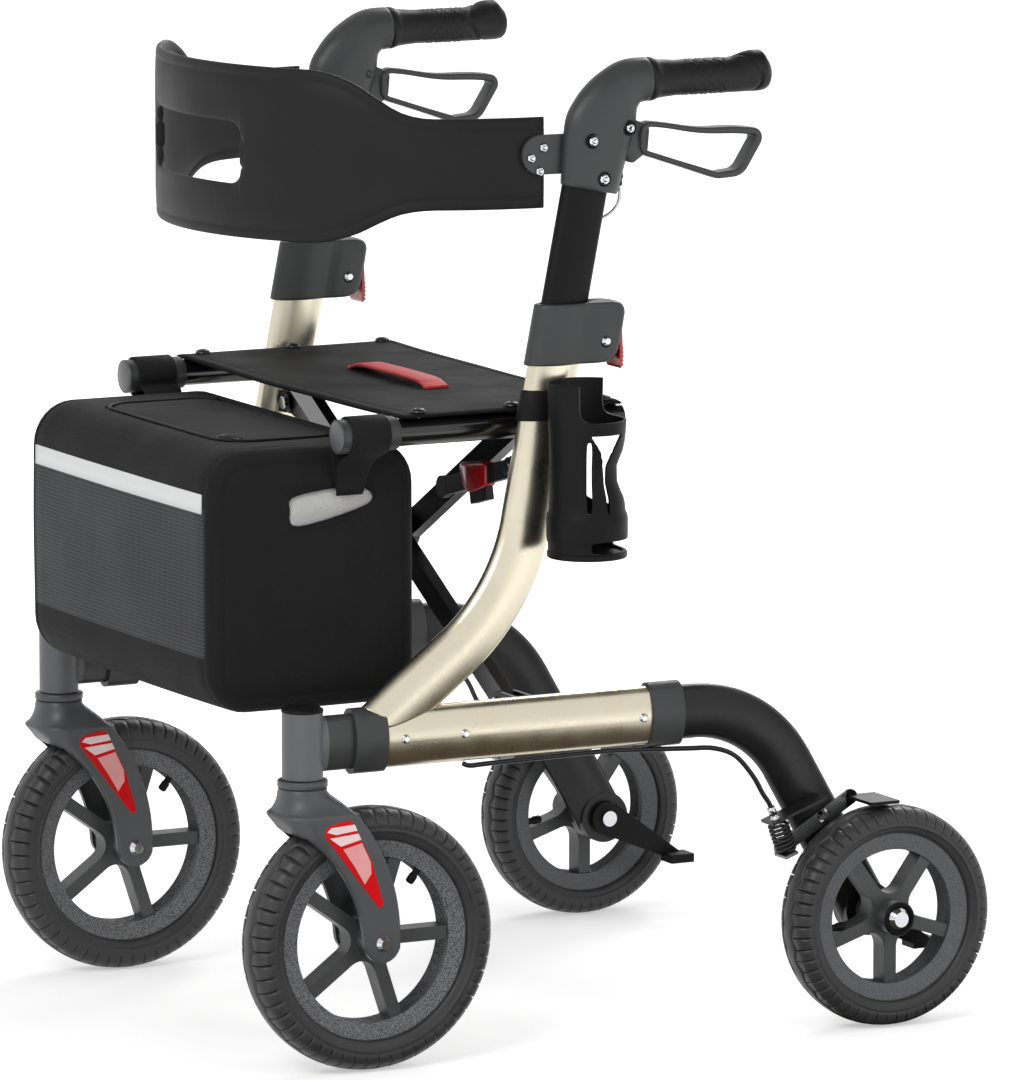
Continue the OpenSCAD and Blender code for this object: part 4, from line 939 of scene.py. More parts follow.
def seat():
    """Two layers of cloth with a turned hem front and back and a row of stitches beside it."""
    mid_y, half_y = (SEAT_Y[0] + SEAT_Y[1]) / 2, (SEAT_Y[1] - SEAT_Y[0]) / 2
    mid_z, half_z = (SEAT_Z[0] + SEAT_Z[1]) / 2, (SEAT_Z[1] - SEAT_Z[0]) / 2
    # Distance from the hem's edge, and share of the full thickness
    hem = ((0.0, 0.35), (0.8, 0.8), (2.2, 1.0), (9, 1.0), (10.2, 0.62), (11.4, 0.86), (16, 0.9), (40, 0.9),
           (70, 0.9), (95, 0.9))
    face = [(mid_y - half_y + d, h) for d, h in hem] + [(mid_y, 0.9)]
    face += [(mid_y + half_y - d, h) for d, h in reversed(hem)]
    section = face + [(y, -h) for y, h in reversed(face)]
    rings = []
    steps = 50
    for i in range(steps + 1):
        x = -SEAT_X + 2 * SEAT_X * i / steps
        thick = half_z * (0.4 + 0.6 * ease(SEAT_X - abs(x), 0, 2.5))
        rings.append([(x, y, mid_z + thick * h - seat_dip(x, y)) for y, h in section])
    thing = piece("seat_sling", loft(rings), seat_cloth, None, ["seat_panel"], slot="black_fabric")
    hangs_between_rails(thing)
    strap = pull_strap()
    for side, s in SIGN.items():
        for k, y in enumerate(SEAT_SCREWS):
            head = lathe(((7.4, 0), (7.4, 1.2), (6.2, 3.2), (3.6, 4.2), (2.4, 4.2), (2.2, 2.4), (0, 2.4)),
                         (s * SEAT_RAIL[0], y, SEAT_TOP - 0.4), UP, 24)
            piece(f"seat_screw_{side}_{k + 1}", head, dark_steel, f"scissor_{side}")


def hangs_between_rails(thing):
    """Bakes a cloth piece's placing into its mesh."""
    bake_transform(thing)


def pull_strap():
    """Red pull handle: a flat band that stands a little off the seat and is sewn down at both ends."""
    path = ((-85, 0.9), (-81, 1.2), (-74, 3.4), (-65, 5.4), (-40, 6.2), (0, 6.5), (40, 6.2), (65, 5.4),
            (74, 3.4), (81, 1.2), (85, 0.9))
    rings = []
    for x, rise in smooth_path(path, 4):
        base = SEAT_TOP - seat_dip(x, STRAP_Y) + rise
        bow = 1.6 * min(1, rise / 6)
        rings.append([(x, STRAP_Y + y, base + z + bow * (1 - (2 * y / STRAP_WIDTH) ** 2))
                      for y, z in rounded_box(STRAP_WIDTH, 3.4, 1.6, 3)])
    strap = piece("seat_pull_strap", loft(rings), red_web, None, slot="red_plastic")
    hangs_between_rails(strap)
    return strap


seat()


BACK_R = 264
BACK_Y = -52
BACK_END = 87.0
BACK_HALF = 4.3
# Lower and upper edge of the backrest along y, from the front to the straps' ends
BACK_EDGES = ((-322, 778, 944), (-262, 778.3, 943.4), (-252, 779.5, 942), (-240, 783.5, 937),
              (-229, 788.5, 930.5), (-216, 797, 919.5), (-205, 803.8, 910.5), (-194, 808.5, 904),
              (-182, 811.2, 900), (-168, 812, 899), (-60, 812, 899))
# Rows from an edge inwards: (distance in mm, half thickness in mm), with a sewn channel 10 mm in
EDGE_ROWS = ((0.0, 1.0), (0.6, 2.0), (1.8, 2.8), (4.5, 3.5), (8.5, 3.6), (9.8, 2.9), (11.1, 3.7))
HOLE_ROWS = ((0.0, 1.0), (0.6, 2.0), (1.8, 2.8), (4.5, 3.4))
# Hand slot: half its length, its lower and upper edge, the radius of its corners, and grid rows across it
SLOT_X = 92
SLOT_Z = (829, 889)
SLOT_R = 16
SLOT_ROWS = 6


def back_columns():
    """Angles round the backrest, in degrees, closer together at the slot's ends and the straps' ends."""
    near = (0, 16, 32, 48, 62, 72, 76, 79, 82, 85, 87.5, 89.5, 91, 92, 92.8, 94.5, 97.5, 102, 112, 126)
    half = [math.degrees(math.asin(x / BACK_R)) for x in near]
    half += [33 + 2.2 * k for k in range(24)] + [85.2, 86.0, 86.6, 86.85, BACK_END]
    return [-a for a in reversed(half[1:])] + half


def back_column(degrees):
    """Rows (z, half thickness) from the lower to the upper edge of the backrest at one angle."""
    turn = math.radians(degrees)
    x = BACK_R * math.sin(turn)
    low, high = between(BACK_EDGES, BACK_Y - BACK_R * math.cos(turn))
    rise = fillet(SLOT_R, SLOT_X - abs(x))
    hole_low, hole_high = SLOT_Z[0] + rise, SLOT_Z[1] - rise
    # Past the slot's ends the pinched rows round it swell to the full thickness
    pinch = 1 - ease(abs(x), SLOT_X, SLOT_X + 5.5)
    hole_rows = [(d, h * pinch + 4.2 * (1 - pinch)) for d, h in HOLE_ROWS]
    edge, rim = EDGE_ROWS[-1][0], HOLE_ROWS[-1][0]
    rows = [(low + d, h) for d, h in EDGE_ROWS]
    rows += [(low + edge + (hole_low - edge - rim - low) * k / 3, BACK_HALF) for k in (1, 2)]
    rows += [(hole_low - d, h) for d, h in reversed(hole_rows)]
    rows += [(hole_low + (hole_high - hole_low) * k / SLOT_ROWS, BACK_HALF) for k in range(1, SLOT_ROWS)]
    rows += [(hole_high + d, h) for d, h in hole_rows]
    rows += [(hole_high + rim + (high - edge - rim - hole_high) * k / 3, BACK_HALF) for k in (1, 2)]
    rows += [(high - d, h) for d, h in reversed(EDGE_ROWS)]
    end = 0.3 + 0.7 * ease(BACK_END - abs(degrees), -0.12, 0.9)
    return [(z, h * end) for z, h in rows]


def backrest():
    """Padded band: a dense grid on both faces, open at the hand slot, its edges rounded and sewn."""
    columns = back_columns()
    table = [back_column(degrees) for degrees in columns]
    rows = len(table[0])
    half = len(columns) * rows
    points = []
    for way in (1, -1):
        for degrees, column in zip(columns, table):
            t = math.radians(degrees)
            points += [((BACK_R + way * h) * math.sin(t), BACK_Y - (BACK_R + way * h) * math.cos(t), z)
                       for z, h in column]
    first = len(EDGE_ROWS) + 2 + len(HOLE_ROWS) - 1
    last = first + SLOT_ROWS
    open_at = [abs(BACK_R * math.sin(math.radians(degrees))) < SLOT_X + 0.01 for degrees in columns]
    ends = [i for i, is_open in enumerate(open_at) if is_open]
    faces = []

    def wall(i, j, k, m):
        faces.append((i * rows + j, k * rows + m, half + k * rows + m, half + i * rows + j))

    for i in range(len(columns) - 1):
        in_slot = open_at[i] and open_at[i + 1]
        for j in range(rows - 1):
            if not (in_slot and first <= j < last):
                corners = (i * rows + j, i * rows + j + 1, (i + 1) * rows + j + 1, (i + 1) * rows + j)
                faces.append(corners)
                faces.append(tuple(half + c for c in reversed(corners)))
        for j in (0, rows - 1, first, last) if in_slot else (0, rows - 1):
            wall(i, j, i + 1, j)
    for i, span in ((0, (0, rows - 1)), (len(columns) - 1, (0, rows - 1)), (ends[0], (first, last)),
                    (ends[-1], (first, last))):
        for j in range(*span):
            wall(i, j, i, j + 1)
    thing = piece("backrest_band", (points, faces), back_cloth, "back", ["backrest"], slot="black_fabric")
    folds_flat(thing)


backrest()


# Handles

LEAN = math.radians(11.2)
# Casting: (y, z, heading in degrees, half depth, half width) along its middle line
ELBOW = ((-23.5, 830, 78.8, 30, 17), (-17.5, 865, 79, 34, 18), (-12, 890, 76, 36, 19),
         (-5.5, 905, 70, 33, 19.5), (-0.5, 914, 64, 29.5, 20), (7.5, 922, 48, 25.5, 20),
         (20.5, 929.5, 23, 22.5, 20.5), (36, 931, 0, 21, 21))
LEVER_PIVOT = (11.7, 887)
GRIP_Y = 36.5
GRIP_LENGTH = 131
# Radius of the grip along its length
GRIP_SHAPE = ((0, 19.6), (1, 20.8), (5, 21), (7, 20.5), (11, 19), (17, 18.2), (24, 17.6), (32, 17),
              (122, 17), (127, 16.2), (129.6, 14.8), (131, 12.5))
STUD_PITCH = 5.2
CLAMP_Z = (664, 722)
CLAMP_LEVELS = (0, 0.5, 1.6, 3.4, 6, 9, 13, 18, 24, 30, 36, 42, 47, 51, 54, 56, 57.4, 58)


def axis_y(z):
    """The y of the upright's and handle tube's axis at a height."""
    return -28.5 + (z - 829) * math.tan(LEAN)


def socket_head(place, diameter, height, way=1):
    """Round screw head along x with a socket in it."""
    r = diameter / 2
    profile = ((r, 0), (r, 0.5 * height), (0.9 * r, 0.85 * height), (0.72 * r, height), (0.46 * r, height),
               (0.42 * r, 0.35 * height), (0, 0.35 * height))
    return lathe(profile, place, (way, 0, 0), 24)


def casting(side):
    """Handle casting: a tube that swells into the elbow, with the plate that holds the backrest."""
    rows = smooth_path(ELBOW, 6)
    y, z, degrees, depth, width = rows[0]
    foot = polar((y, z), -1.4, math.radians(degrees))
    rows.insert(0, (*foot, degrees, depth - 1.5, width - 1.5))
    rings = []
    for y, z, degrees, depth, width in rows:
        h = math.radians(degrees)
        rings.append([(width * math.sin(a), y - math.sin(h) * depth * math.cos(a),
                       z + math.cos(h) * depth * math.cos(a)) for a in turns(44)])
    body = side_piece("handle_casting", side, loft(rings), grey_nylon, "handle", "handle_elbow",
                      slot="grey_casting")
    lever_slot = prism([(-2.3, 851), (57.7, 851), (57.7, 901), (-2.3, 901)], -5.3, 5.3)
    cut(body, on_frame(lever_slot, side))
    outline = [polar((-73, 863.5), 19, a) for a in arc(90, 270, 20)] + [(-13, 844.5), (-13, 882.5)]
    plate = side_piece("backrest_plate", side, prism(outline, -9.07, -4.07), grey_nylon, "handle",
                       smooth=False)
    bevel_edges(plate, 0.9, 3, 35)
    heads = [socket_head((-4.1, y, z), 8.6, 2.6) for y, z in ((-70, 870.5), (-83, 861), (-74, 848))]
    heads += [socket_head((17.0, -28, 876.5), 9.5, 3.2), socket_head((16.4, -16, 839.7), 10, 3.4),
              socket_head((15.2, *LEVER_PIVOT), 9, 4.2)]
    side_piece("handle_screws", side, joined(heads), chrome, "handle", slot="chrome_bolt")
    cups = [lathe(((7.4, -2.5), (7.4, 0.9), (6.9, 1.4), (5.6, 1.5), (5.2, 0.3), (0, 0.3)), place, OUT, 28)
            for place in ((16.2, -28, 876.5), (16.3, -16, 839.7), (15.4, *LEVER_PIVOT))]
    side_piece("handle_screw_cups", side, joined(cups), black_moulding, "handle")


def grip_radius(along, turn):
    """Grip radius at a distance along it and an angle from the top, with palm rest and raised studs."""
    radius = between(GRIP_SHAPE, along)[0]
    rest = ease(along, 88, 114) * (1 - ease(along, 122, 130)) * max(0, math.cos(turn - 0.35)) ** 1.3
    lip = math.exp(-((along - 103 - 15 * math.sin(turn - 0.4)) / 1.5) ** 2)
    patch = ease(along, 38, 42) * (1 - ease(along, 82, 86))
    offset = along // STUD_PITCH % 2 * math.pi / 2
    studs = max(0, math.sin(along * TURN / STUD_PITCH) * math.sin(9 * turn + offset))
    return radius + 6.2 * rest - 1.5 * lip * ease(along, 80, 90) + 0.7 * patch * studs


def grip(side):
    """Moulded grip round the casting's end."""
    rings = []
    steps = 110
    for i in range(steps + 1):
        along = GRIP_LENGTH * i / steps
        reaches = [(grip_radius(along, a), a) for a in turns(48)]
        rings.append([(r * math.sin(a), GRIP_Y + along, GRIP_Z + r * math.cos(a)) for r, a in reaches])
    side_piece("grip_moulded", side, loft(rings), grip_rubber, "handle", "grip", slot="grip_rubber")


def brake_lever(side):
    """Loop lever: a flat strap bent to a closed loop on a tongue that turns in the casting."""
    inset = 2.8
    circles = ((40, 879, 12), (40, 869, 12), (149, 870, 9.5), (127, 853, 19), (113, 847, 14))
    path = hull_path([(y, z, r - inset) for y, z, r in circles], 140)
    for here in path:
        if here[1] > 868 and 45 < here[0] < 140:
            here[1] -= 2.6 * math.sin(math.pi * (here[0] - 45) / 95) ** 2
    loop = []
    for i, here in enumerate(path):
        ahead = (path[(i + 1) % len(path)] - path[i - 1]).normalized()
        far = ease(here[0], 60, 140)
        loop.append([(x, here[0] + ahead[1] * up, here[1] - ahead[0] * up)
                     for x, up in rounded_box(16 + 5 * far, 5.4 + 1.6 * far, 2.4, 4)])
    outline = hull_path([(*LEVER_PIVOT, 10.5), (32, 882, 7.5), (31, 866, 7), (21, 858, 6)], 60)
    middle = Vector((24, 879))
    tongue = [[(x, *(p - (p - middle).normalized() * shrink)) for p in outline]
              for x, shrink in ((-5, 1.4), (-4.4, 0.5), (-3.4, 0), (3.4, 0), (4.4, 0.5), (5, 1.4))]
    pin = lathe(((3.8, 0), (3.8, 34)), (-17, *LEVER_PIVOT), OUT, 16)
    side_piece("brake_lever_loop", side, joined([loft(loop, around=True), loft(tongue), pin]), grey_nylon,
               "lever", "brake_lever", slot="grey_casting")


def upper_cable(side):
    """Adjuster under the casting, and the bow of cable into the tube."""
    adjuster = lathe(((5, 0), (5, 8), (4.2, 9), (3.4, 9.5), (3.4, 15), (2.4, 15.5)), (0, 7.0, 846),
                     (0, 0.12, -1), 20)
    side_piece("cable_adjuster", side, adjuster, black_moulding, "handle")
    path = smooth_path([(0, 8.6, 836), (0, 9.6, 829), (0, 9.4, 820), (0, 7.2, 813), (0, 1, 806),
                        (0, -8, 801), (0, -18, 798)], 5)
    bow = side_piece("upper_cable", side, tube(path, 1.7, 10), pale_cable, "handle", slot="black_plastic")
    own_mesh(bow)


def clamp(side):
    """Height clamp: an oval sleeve that runs into a soft-cornered boss with the lever's slot."""
    rings = []
    span = CLAMP_Z[1] - CLAMP_Z[0]
    for level in CLAMP_LEVELS:
        z = CLAMP_Z[0] + level
        edge = min(level, span - level)
        soft = fillet(1.8, edge)
        half = 16.3 - soft + 1.6 * math.sin(math.pi * level / span)
        corner_y = 53 - fillet(13, edge)
        waist = [(17.9 - soft, 6), (16.6 - soft, 12), (14.9 - soft, 18), (14.7 - soft, 22),
                 (half - 0.8, 28), (half, 33)]
        ring = [((18.5 - soft) * math.sin(a), (31 - soft) * math.cos(a)) for a in arc(90, 270, 24)]
        ring += [(-x, y) for x, y in waist]
        ring += [polar((9 - half, corner_y), 9, a) for a in arc(180, 90, 8)]
        ring += [polar((half - 9, corner_y), 9, a) for a in arc(90, 0, 8)]
        ring += reversed(waist)
        rings.append([(x, axis_y(z) + y, z) for x, y in ring])
    body = side_piece("clamp_housing", side, loft(rings), grey_nylon, "frame", "height_clamp",
                      slot="grey_casting")
    bore = loft([[(13.75 * math.sin(a), axis_y(z) + 26.4 * math.cos(a), z) for a in turns(48)]
                 for z in (650, 740)])
    lever_slot = prism([(-5.5, 640), (30, 640), (30, 709), (-5.5, 706)], -14.4, 14.4)
    for hollow in (bore, lever_slot):
        cut(body, on_frame(hollow, side))
    heads = [socket_head((16.9 * way, -14, 685), 9.6, 3.0, way) for way in (1, -1)]
    rod = lathe(((2.0, 0), (2.0, 33)), (-16.5, 0.5, 698), OUT, 12)
    side_piece("clamp_screws", side, joined(heads + [rod]), chrome, "frame", slot="chrome_bolt")
    cups = [lathe(((6.6, -2), (6.6, 0.5), (6.1, 0.9), (5.2, 0.9), (4.9, 0), (0, 0)), (16.8 * way, -14, 685),
                  (way, 0, 0), 24) for way in (1, -1)]
    side_piece("clamp_screw_cups", side, joined(cups), black_moulding, "frame")


def clamp_lever(side):
    """Red lever: a thumb plate that hangs from its pin, with grip ribs at its lower end."""
    outline = [(3.9, 657), (5.2, 659), (6.2, 664), (6.4, 670), (6.2, 676), (5.9, 684), (5.4, 694),
               (5.0, 700), (4.6, 703)]
    outline += [polar((0.5, 698), 5, a) for a in arc(60, 240, 6)]
    outline += [(1.5, 690), (2.6, 680), (2.8, 668), (2.4, 660)]
    ribs = [tube([(x, 6.4 - 0.12 * abs(k - 2), 660.5 + 4 * k) for x in (-12.8, 12.8)], 1.5, 10)
            for k in range(5)]
    lever = side_piece("clamp_lever_red", side, joined([prism(outline, -14, 14)] + ribs), red_abs,
                       "clamp_lever", "height_lever", smooth=False, slot="red_plastic")
    bevel_edges(lever, 0.5, 2, 50)


for side in SIGN:
    casting(side)
    grip(side)
    brake_lever(side)
    upper_cable(side)
    clamp(side)
    clamp_lever(side)


# Brakes, latches and screws

CABLE_ROUTE = ((0, -158, 286), (0, -150, 283.5), (0, -130, 284), (0, -60, 285), (0, 0, 285.5), (3, 40, 284),
               (10, 80, 283), (16, 105, 282), (22, 125, 274), (26, 142, 254), (28, 152, 236),
               (28, 159, 226), (28, 163, 217.6), (28, 166, 211.6))
SPRING_TOP = Vector((28, 168, 207))
SPRING_END = Vector((28, 179.3, 176))
SPRING_TURNS = 7
STAY_PIVOT = Vector((250, 563.3))
STAY_STUD = Vector((100.1, 524.6))
# Latch's outline: distance along the stay from its pivot, and from the stay's middle line
LATCH = ((52, -9), (58, -12), (88, -15), (100, -17.5), (107, -14), (104, 4), (98, 11), (90, 13), (66, 12),
         (56, 8))


def lower_cable(side):
    """Cable along the lower rail and down the rear leg, with the ferrule at its end."""
    side_piece("lower_cable", side, tube(smooth_path(CABLE_ROUTE, 5), 2.5, 12), cable_pvc, "frame",
               "brake_cable", slot="black_plastic")
    profile = ((2.6, 0), (4.2, 0.5), (4.2, 7), (3.4, 7.5), (3.4, 11), (4.6, 11.5), (4.6, 15), (3, 15.5))
    ferrule = lathe(profile, (28, 160.8, 222), (0, 0.4, -0.92), 18)
    side_piece("cable_ferrule", side, ferrule, chrome, "frame", slot="chrome_bolt")


def spring(side):
    """Return spring as one wire along its helix."""
    along = SPRING_END - SPRING_TOP
    length = along.length - 4.2
    along.normalize()
    across = Vector((1, 0, 0))
    up = along.cross(across)
    path = []
    for i in range(20 * SPRING_TURNS + 1):
        turn = i / 20
        ends = min(turn, SPRING_TURNS - turn)
        radius = 9 - 0.5 * (1 - ease(ends, 0, 0.5))
        place = SPRING_TOP + along * (2.1 + length * turn / SPRING_TURNS)
        path.append(tuple(place + radius * (across * math.cos(TURN * turn) + up * math.sin(TURN * turn))))
    coil = side_piece("brake_spring_coil", side, tube(path, 1.7, 10), spring_wire, "frame", "brake_spring",
                      slot="steel")
    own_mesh(coil)


def latch(side, s):
    """Red release latch clipped over the locking stay."""
    down_the_bar = (STAY_STUD - STAY_PIVOT).normalized()
    below = Vector((-down_the_bar[1], down_the_bar[0]))
    middle_y = -85 - 3.3 * s
    rings = []
    for y, shrink in ((-6.4, 1.5), (-5.6, 0.4), (-4.6, 0), (4.6, 0), (5.6, 0.4), (6.4, 1.5)):
        ring = []
        for along, drop in smooth_path(LATCH + LATCH[:1], 4)[:-1]:
            along += (80 - along) * shrink / 24
            drop += (-2 - drop) * shrink / 14
            place = STAY_PIVOT + down_the_bar * along + below * drop
            ring.append((s * place[0], middle_y + y, place[1]))
        rings.append(ring)
    piece(f"stay_latch_{side}", loft(rings), red_abs, f"stay_{side}", slot="red_plastic")


def frame_screws(side):
    """Screw heads on the lower rail's outer face."""
    heads = [socket_head((13.6, y, 317.5), 9, 3.0) for y in (-226, -163, 29)]
    side_piece("rail_screws", side, joined(heads), chrome, "frame", slot="chrome_bolt")


# Cup holder

CUP = (335, -56)
# Cup holder's wall, outside up and inside down: (radius, height)
CUP_WALL = ((37.2, 489), (37.4, 500), (38.4, 503.5), (38.8, 507), (38.8, 524), (38.2, 527.5), (36.6, 531),
            (36.0, 545), (36.0, 560), (36.0, 575), (36.0, 590), (36.4, 604), (37.2, 617), (37.6, 636),
            (38.2, 650), (38.2, 653), (35.8, 653), (35.2, 636), (34.9, 617), (34.2, 604), (33.7, 590),
            (33.7, 575), (33.7, 560), (33.7, 545), (34.2, 531), (34.6, 507), (34.6, 489))
# Openings: (middle and half of the angle in degrees, lowest and highest z, power of the outline's curve)
CUP_WINDOWS = ((-24, 4.5, 532, 600, 4), (106, 60, 533, 604, 3), (45, 66, 493, 505, 5),
               (45, 84, 618, 690, 9))
# The gap between the arms: half its angle in degrees at each height, a slit that opens to a wide arch
CUP_GAP = ((531, 0.6), (533, 2.0), (540, 2.8), (565, 2.8), (574, 4.2), (582, 7), (590, 12), (597, 18.5),
           (602, 24), (604.5, 27), (606, 27.5))
# Radii between which the wall is cut
CUP_CUT = (18, 50)


def cup_window(middle, half, low, high, power):
    """Radial cutter for one opening of the cup holder."""
    inner, outer = CUP_CUT
    rings = []
    for k in range(33):
        along = 0.999 * math.sin(math.pi / 2 * (k / 16 - 1))
        rise = (high - low) / 2 * (1 - abs(along) ** power) ** (1 / power)
        a = math.radians(middle + half * along)
        rings.append([(*polar(CUP, r, a), (low + high) / 2 + up)
                      for r, up in ((inner, -rise), (outer, -rise), (outer, rise), (inner, rise))])
    return loft(rings)


def cup_gap():
    """Radial cutter for the gap between the cup holder's arms."""
    inner, outer = CUP_CUT
    corners = ((inner, -1), (outer, -1), (outer, 0), (outer, 1), (inner, 1), (inner, 0))
    return loft([[(*polar(CUP, r, math.radians(7 + way * half)), z) for r, way in corners]
                 for z, half in CUP_GAP])


def cup_holder():
    """Cup holder: a tall back wall, two waisted arms under a rim, a ring, a floor disc and a band."""
    rings = []
    for radius, z in CUP_WALL:
        ring = []
        for turn in range(-180, 180, 3):
            arms = ease(turn, -38, -12) * (1 - ease(turn, 50, 100))
            waist = arms * math.sin(math.pi * ease(z, 527, 609)) ** 2
            ring.append((*polar(CUP, radius - 8 * waist, math.radians(turn)), z))
        rings.append(ring)
    wall = piece("cup_holder_wall", loft(rings, around=True), black_moulding, "frame_left", ["cup_holder"],
                 slot="black_plastic")
    for opening in [cup_gap()] + [cup_window(*window) for window in CUP_WINDOWS]:
        cut(wall, opening)
    shade_by_angle(wall, 40)
    floor = lathe(((37.4, 0), (38.2, 0.8), (38.2, 5.2), (37.2, 6.2), (34, 6.2), (33, 4.6), (0, 4.6)),
                  (*CUP, 486.6), UP, 60)
    band = []
    for grow, rise in ((3, 0), (3.4, 0.8), (3.4, 28.6), (3, 29.4), (0.2, 29.4), (0.2, 0)):
        z = 612 + rise * math.cos(LEAN)
        band.append([(FRAME_X + (13.5 + grow) * math.sin(a), axis_y(z) + (26 + grow) * math.cos(a), z)
                     for a in turns(60)])
    lug = prism([(-63.5 + y, 624 + z) for y, z in rounded_box(20, 22, 4, 4)], 288, 304)
    fittings = piece("cup_holder_band", joined([floor, loft(band, around=True), lug]), black_moulding,
                     "frame_left", smooth=False, slot="black_plastic")
    shade_by_angle(fittings, 40)


# Casters and caps

CASTER_Y = -328
FORK_OUT = 36.5
FORK_IN = 28.5
WHEEL_ROOM = 131
# Circles (y, z, radius) that the blades' feet, rear edges and front edges follow
BLADE_FOOT = (*FRONT_WHEEL, 19)
BLADE_REAR = (-426, 132.6, 184)
BLADE_FRONT = (-419, 118.7, 139.5)
FORK_LEVELS = (108.1, 108.6, 109.6, 111.5, 114, 118, 122, 127.5, 133, *range(140, 229, 8), 236, 239, 242,
               245, 247.5, 250, 251.2, 252, 252.8, 253.6, 254.4, 255.5, 257, 259.5, 262, 265, 268, 271, 274,
               277)
# Front edge of the fork's crown and neck, and half its width, at each height
FORK_FRONT = ((236, -343.5), (242, -349.5), (247, -354.8), (250, -357.8), (252, -359.3), (253.6, -358.6),
              (255, -356.2), (257, -354.8), (262, -353), (270, -351.4), (277, -350.8))
FORK_WIDTH = ((252, FORK_OUT), (254, 35.6), (257, 33), (262, 29.6), (268, 26.6), (273, 24.4), (277, 23.0))
# Corner radius in plan, front and rear
FORK_CORNER = ((108, 3, 3), (205, 3, 3), (225, 8, 3), (240, 20, 3), (252, 29, 4), (257, 27, 7),
               (262, 26, 9), (268, 25, 14), (273, 23.6, 19), (277, 22.6, 22.4))


def caster_cap(side):
    """Black domed plug on the caster head, with a thin lip over its edge."""
    profile = ((17, -3), (19.9, -1.2), (20.2, 0), (19.6, 1.4), (16.5, 3.4), (11.5, 5.2), (6, 6.2), (0, 6.6))
    side_piece("caster_cap", side, lathe(profile, (0, CASTER_Y, 351), UP, 40), black_moulding, "frame")


def reach_of(circle_at, z):
    """Half the length of a circle's chord at a height."""
    return math.sqrt(max(0, circle_at[2] ** 2 - (z - circle_at[1]) ** 2))


def fork_section(z):
    """Plan of the fork at a height: (x, y) round a rectangle with its own corner radii."""
    if z > FRONT_WHEEL[1]:
        rear = BLADE_REAR[0] + reach_of(BLADE_REAR, z)
        front = BLADE_FRONT[0] + reach_of(BLADE_FRONT, z)
    else:
        rear = BLADE_FOOT[0] + reach_of(BLADE_FOOT, z)
        front = BLADE_FOOT[0] - reach_of(BLADE_FOOT, z)
    if z > FORK_FRONT[0][0]:
        front = between(FORK_FRONT, z)[0]
    rear += (CASTER_Y + 22.8 - rear) * ease(z, 270, 277)
    half = between(FORK_WIDTH, z)[0]
    near, far = [min(r, 0.49 * (rear - front), 0.98 * half) for r in between(FORK_CORNER, z)]
    ring = []
    for cx, cy, radius, start in ((1, 1, far, 0), (-1, 1, far, 90), (-1, -1, near, 180),
                                  (1, -1, near, 270)):
        middle = (cx * (half - radius), (rear if cy > 0 else front) - cy * radius)
        ring += [(*polar(middle, radius, a), z) for a in arc(start, start + 90, 8)]
    return ring


def fork(side):
    """Caster fork: two curved blades under a crown with a pointed front, flared up to a grooved neck."""
    body = side_piece("caster_fork", side, loft([fork_section(z) for z in FORK_LEVELS]), fork_nylon,
                      "caster", "fork", slot="grey_casting")
    wheel_room = lathe(((WHEEL_ROOM, 0), (WHEEL_ROOM, 2 * FORK_IN)), (-FORK_IN, *FRONT_WHEEL), OUT, 120)
    cut(body, on_frame(wheel_room, side))
    shade_by_angle(body, 38)
    profile = ((18, 0), (22.2, 0), (22.2, 1.2), (23.4, 1.8), (23.9, 2.4), (23.9, 7.6), (23.3, 8.3),
               (18, 8.4))
    side_piece("fork_neck_ring", side, lathe(profile, (0, CASTER_Y, 276.6), UP, 48), fork_nylon, "caster",
               slot="grey_casting")
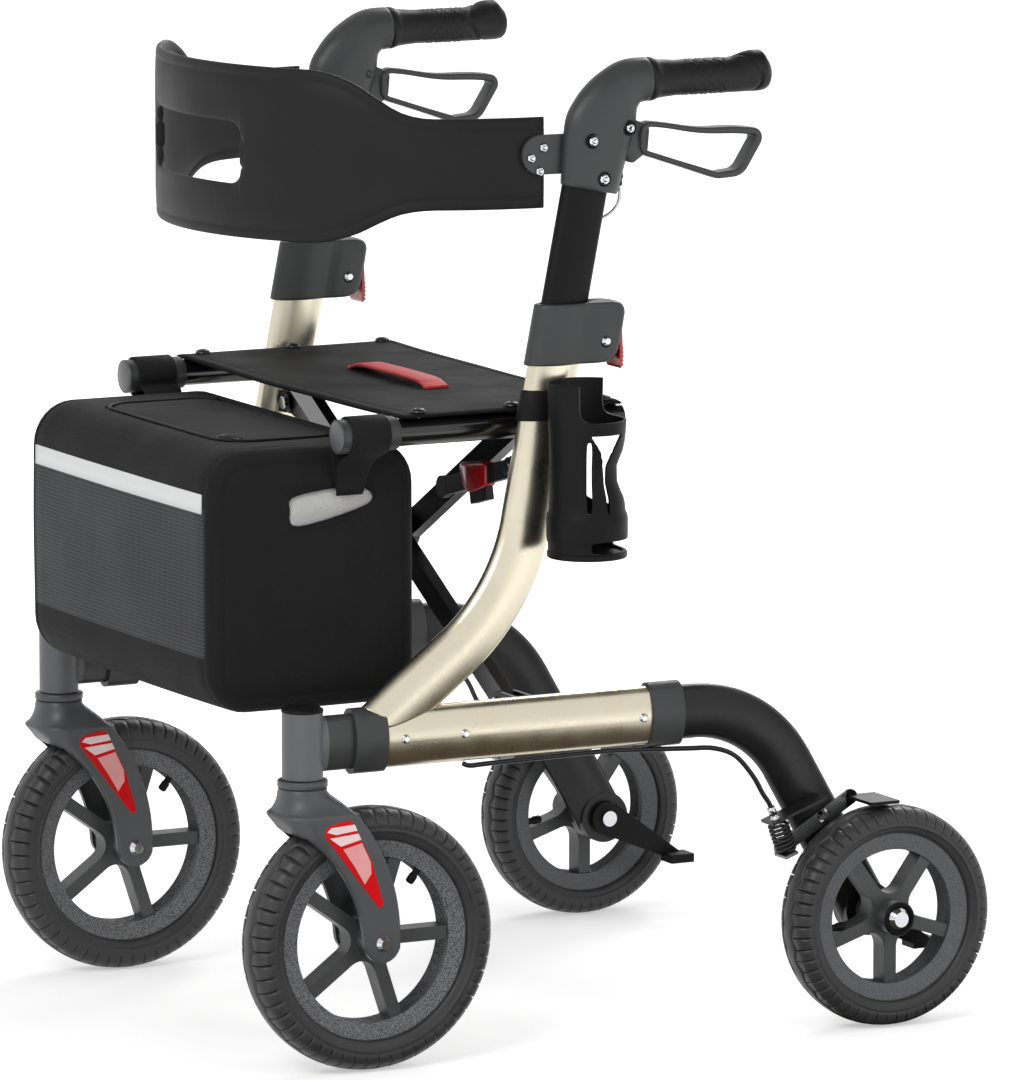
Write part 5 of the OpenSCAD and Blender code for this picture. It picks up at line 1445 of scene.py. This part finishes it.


# Reflector: circles that its outline runs round, and the pale and pink patches on its face that are painted
# highlights, (y, z)
REFLECTOR = ((-315.5, 238, 7), (-299, 241, 8), (-278.5, 204, 6), (-264.5, 166, 3.5))
PAINTED_HIGHLIGHTS_PALE = (((-320.5, 239), (-316, 243), (-291.5, 244.5), (-288.5, 238.5), (-311, 236)),
               ((-317.5, 233), (-287.5, 235.5), (-284.5, 229.5), (-306, 224.5)))
PAINTED_HIGHLIGHTS_PINK = (((-303.5, 221.5), (-284, 226), (-274.8, 207), (-274, 196), (-281, 186), (-291, 203)),)


def reflector(side):
    """Red lenses on the outer and inner face of a fork, with thin pale and pink patches on them as painted
    highlights.
    """
    outline = hull_path(REFLECTOR, 90)
    for name, way, node in (("outer", 1, "fork_reflectors"), ("inner", -1, None)):
        plate = prism(outline, way * (FORK_OUT - 2.5), way * (FORK_OUT + 0.6))
        lens = side_piece(f"reflector_{name}", side, plate, red_lens, "caster", node, smooth=False,
                          slot="red_plastic")
        bevel_edges(lens, 0.4, 2, 50)
        # Thin patches in pale and pink: painted highlights on the lens
        for label, outlines, look in (("pale", PAINTED_HIGHLIGHTS_PALE, painted_highlight_pale), ("pink", PAINTED_HIGHLIGHTS_PINK, painted_highlight_pink)):
            highlight_plates = [prism(each, way * (FORK_OUT + 0.5), way * (FORK_OUT + 0.75)) for each in outlines]
            side_piece(f"reflector_prisms_{label}_{name}", side, joined(highlight_plates), look, "caster",
                       smooth=False)


def rail_cap_face(side, s):
    """Paler domed disc in the front end of the seat rail's cap."""
    dome = lathe(((0, 2.6), (5, 2.4), (10, 1.8), (13.6, 0.9), (14.8, 0.2), (15.0, -2)),
                 (s * SEAT_RAIL[0], -272, SEAT_RAIL[1]), (0, -1, 0), 40)
    piece(f"rail_cap_face_{side}", dome, pale_nylon, f"scissor_{side}", slot="grey_casting")


def rear_axle_cup(side, s):
    """Black dished ring round the rear axle's head."""
    ring = lathe(((12.8, -1), (12.8, 0.6), (13.8, 1.2), (13.4, 2.4), (15.4, 2.2), (16.4, 0.8), (16.4, -1)),
                 (s * (REAR_X + 28), *REAR_WHEEL), (s, 0, 0), 40)
    piece(f"rear_axle_cup_{side}", ring, black_moulding, f"rear_wheel_{side}")


cup_holder()
for side, s in SIGN.items():
    fork(side)
    reflector(side)
    rear_axle_cup(side, s)
    rail_cap_face(side, s)
    caster_cap(side)
    lower_cable(side)
    spring(side)
    latch(side, s)
    frame_screws(side)
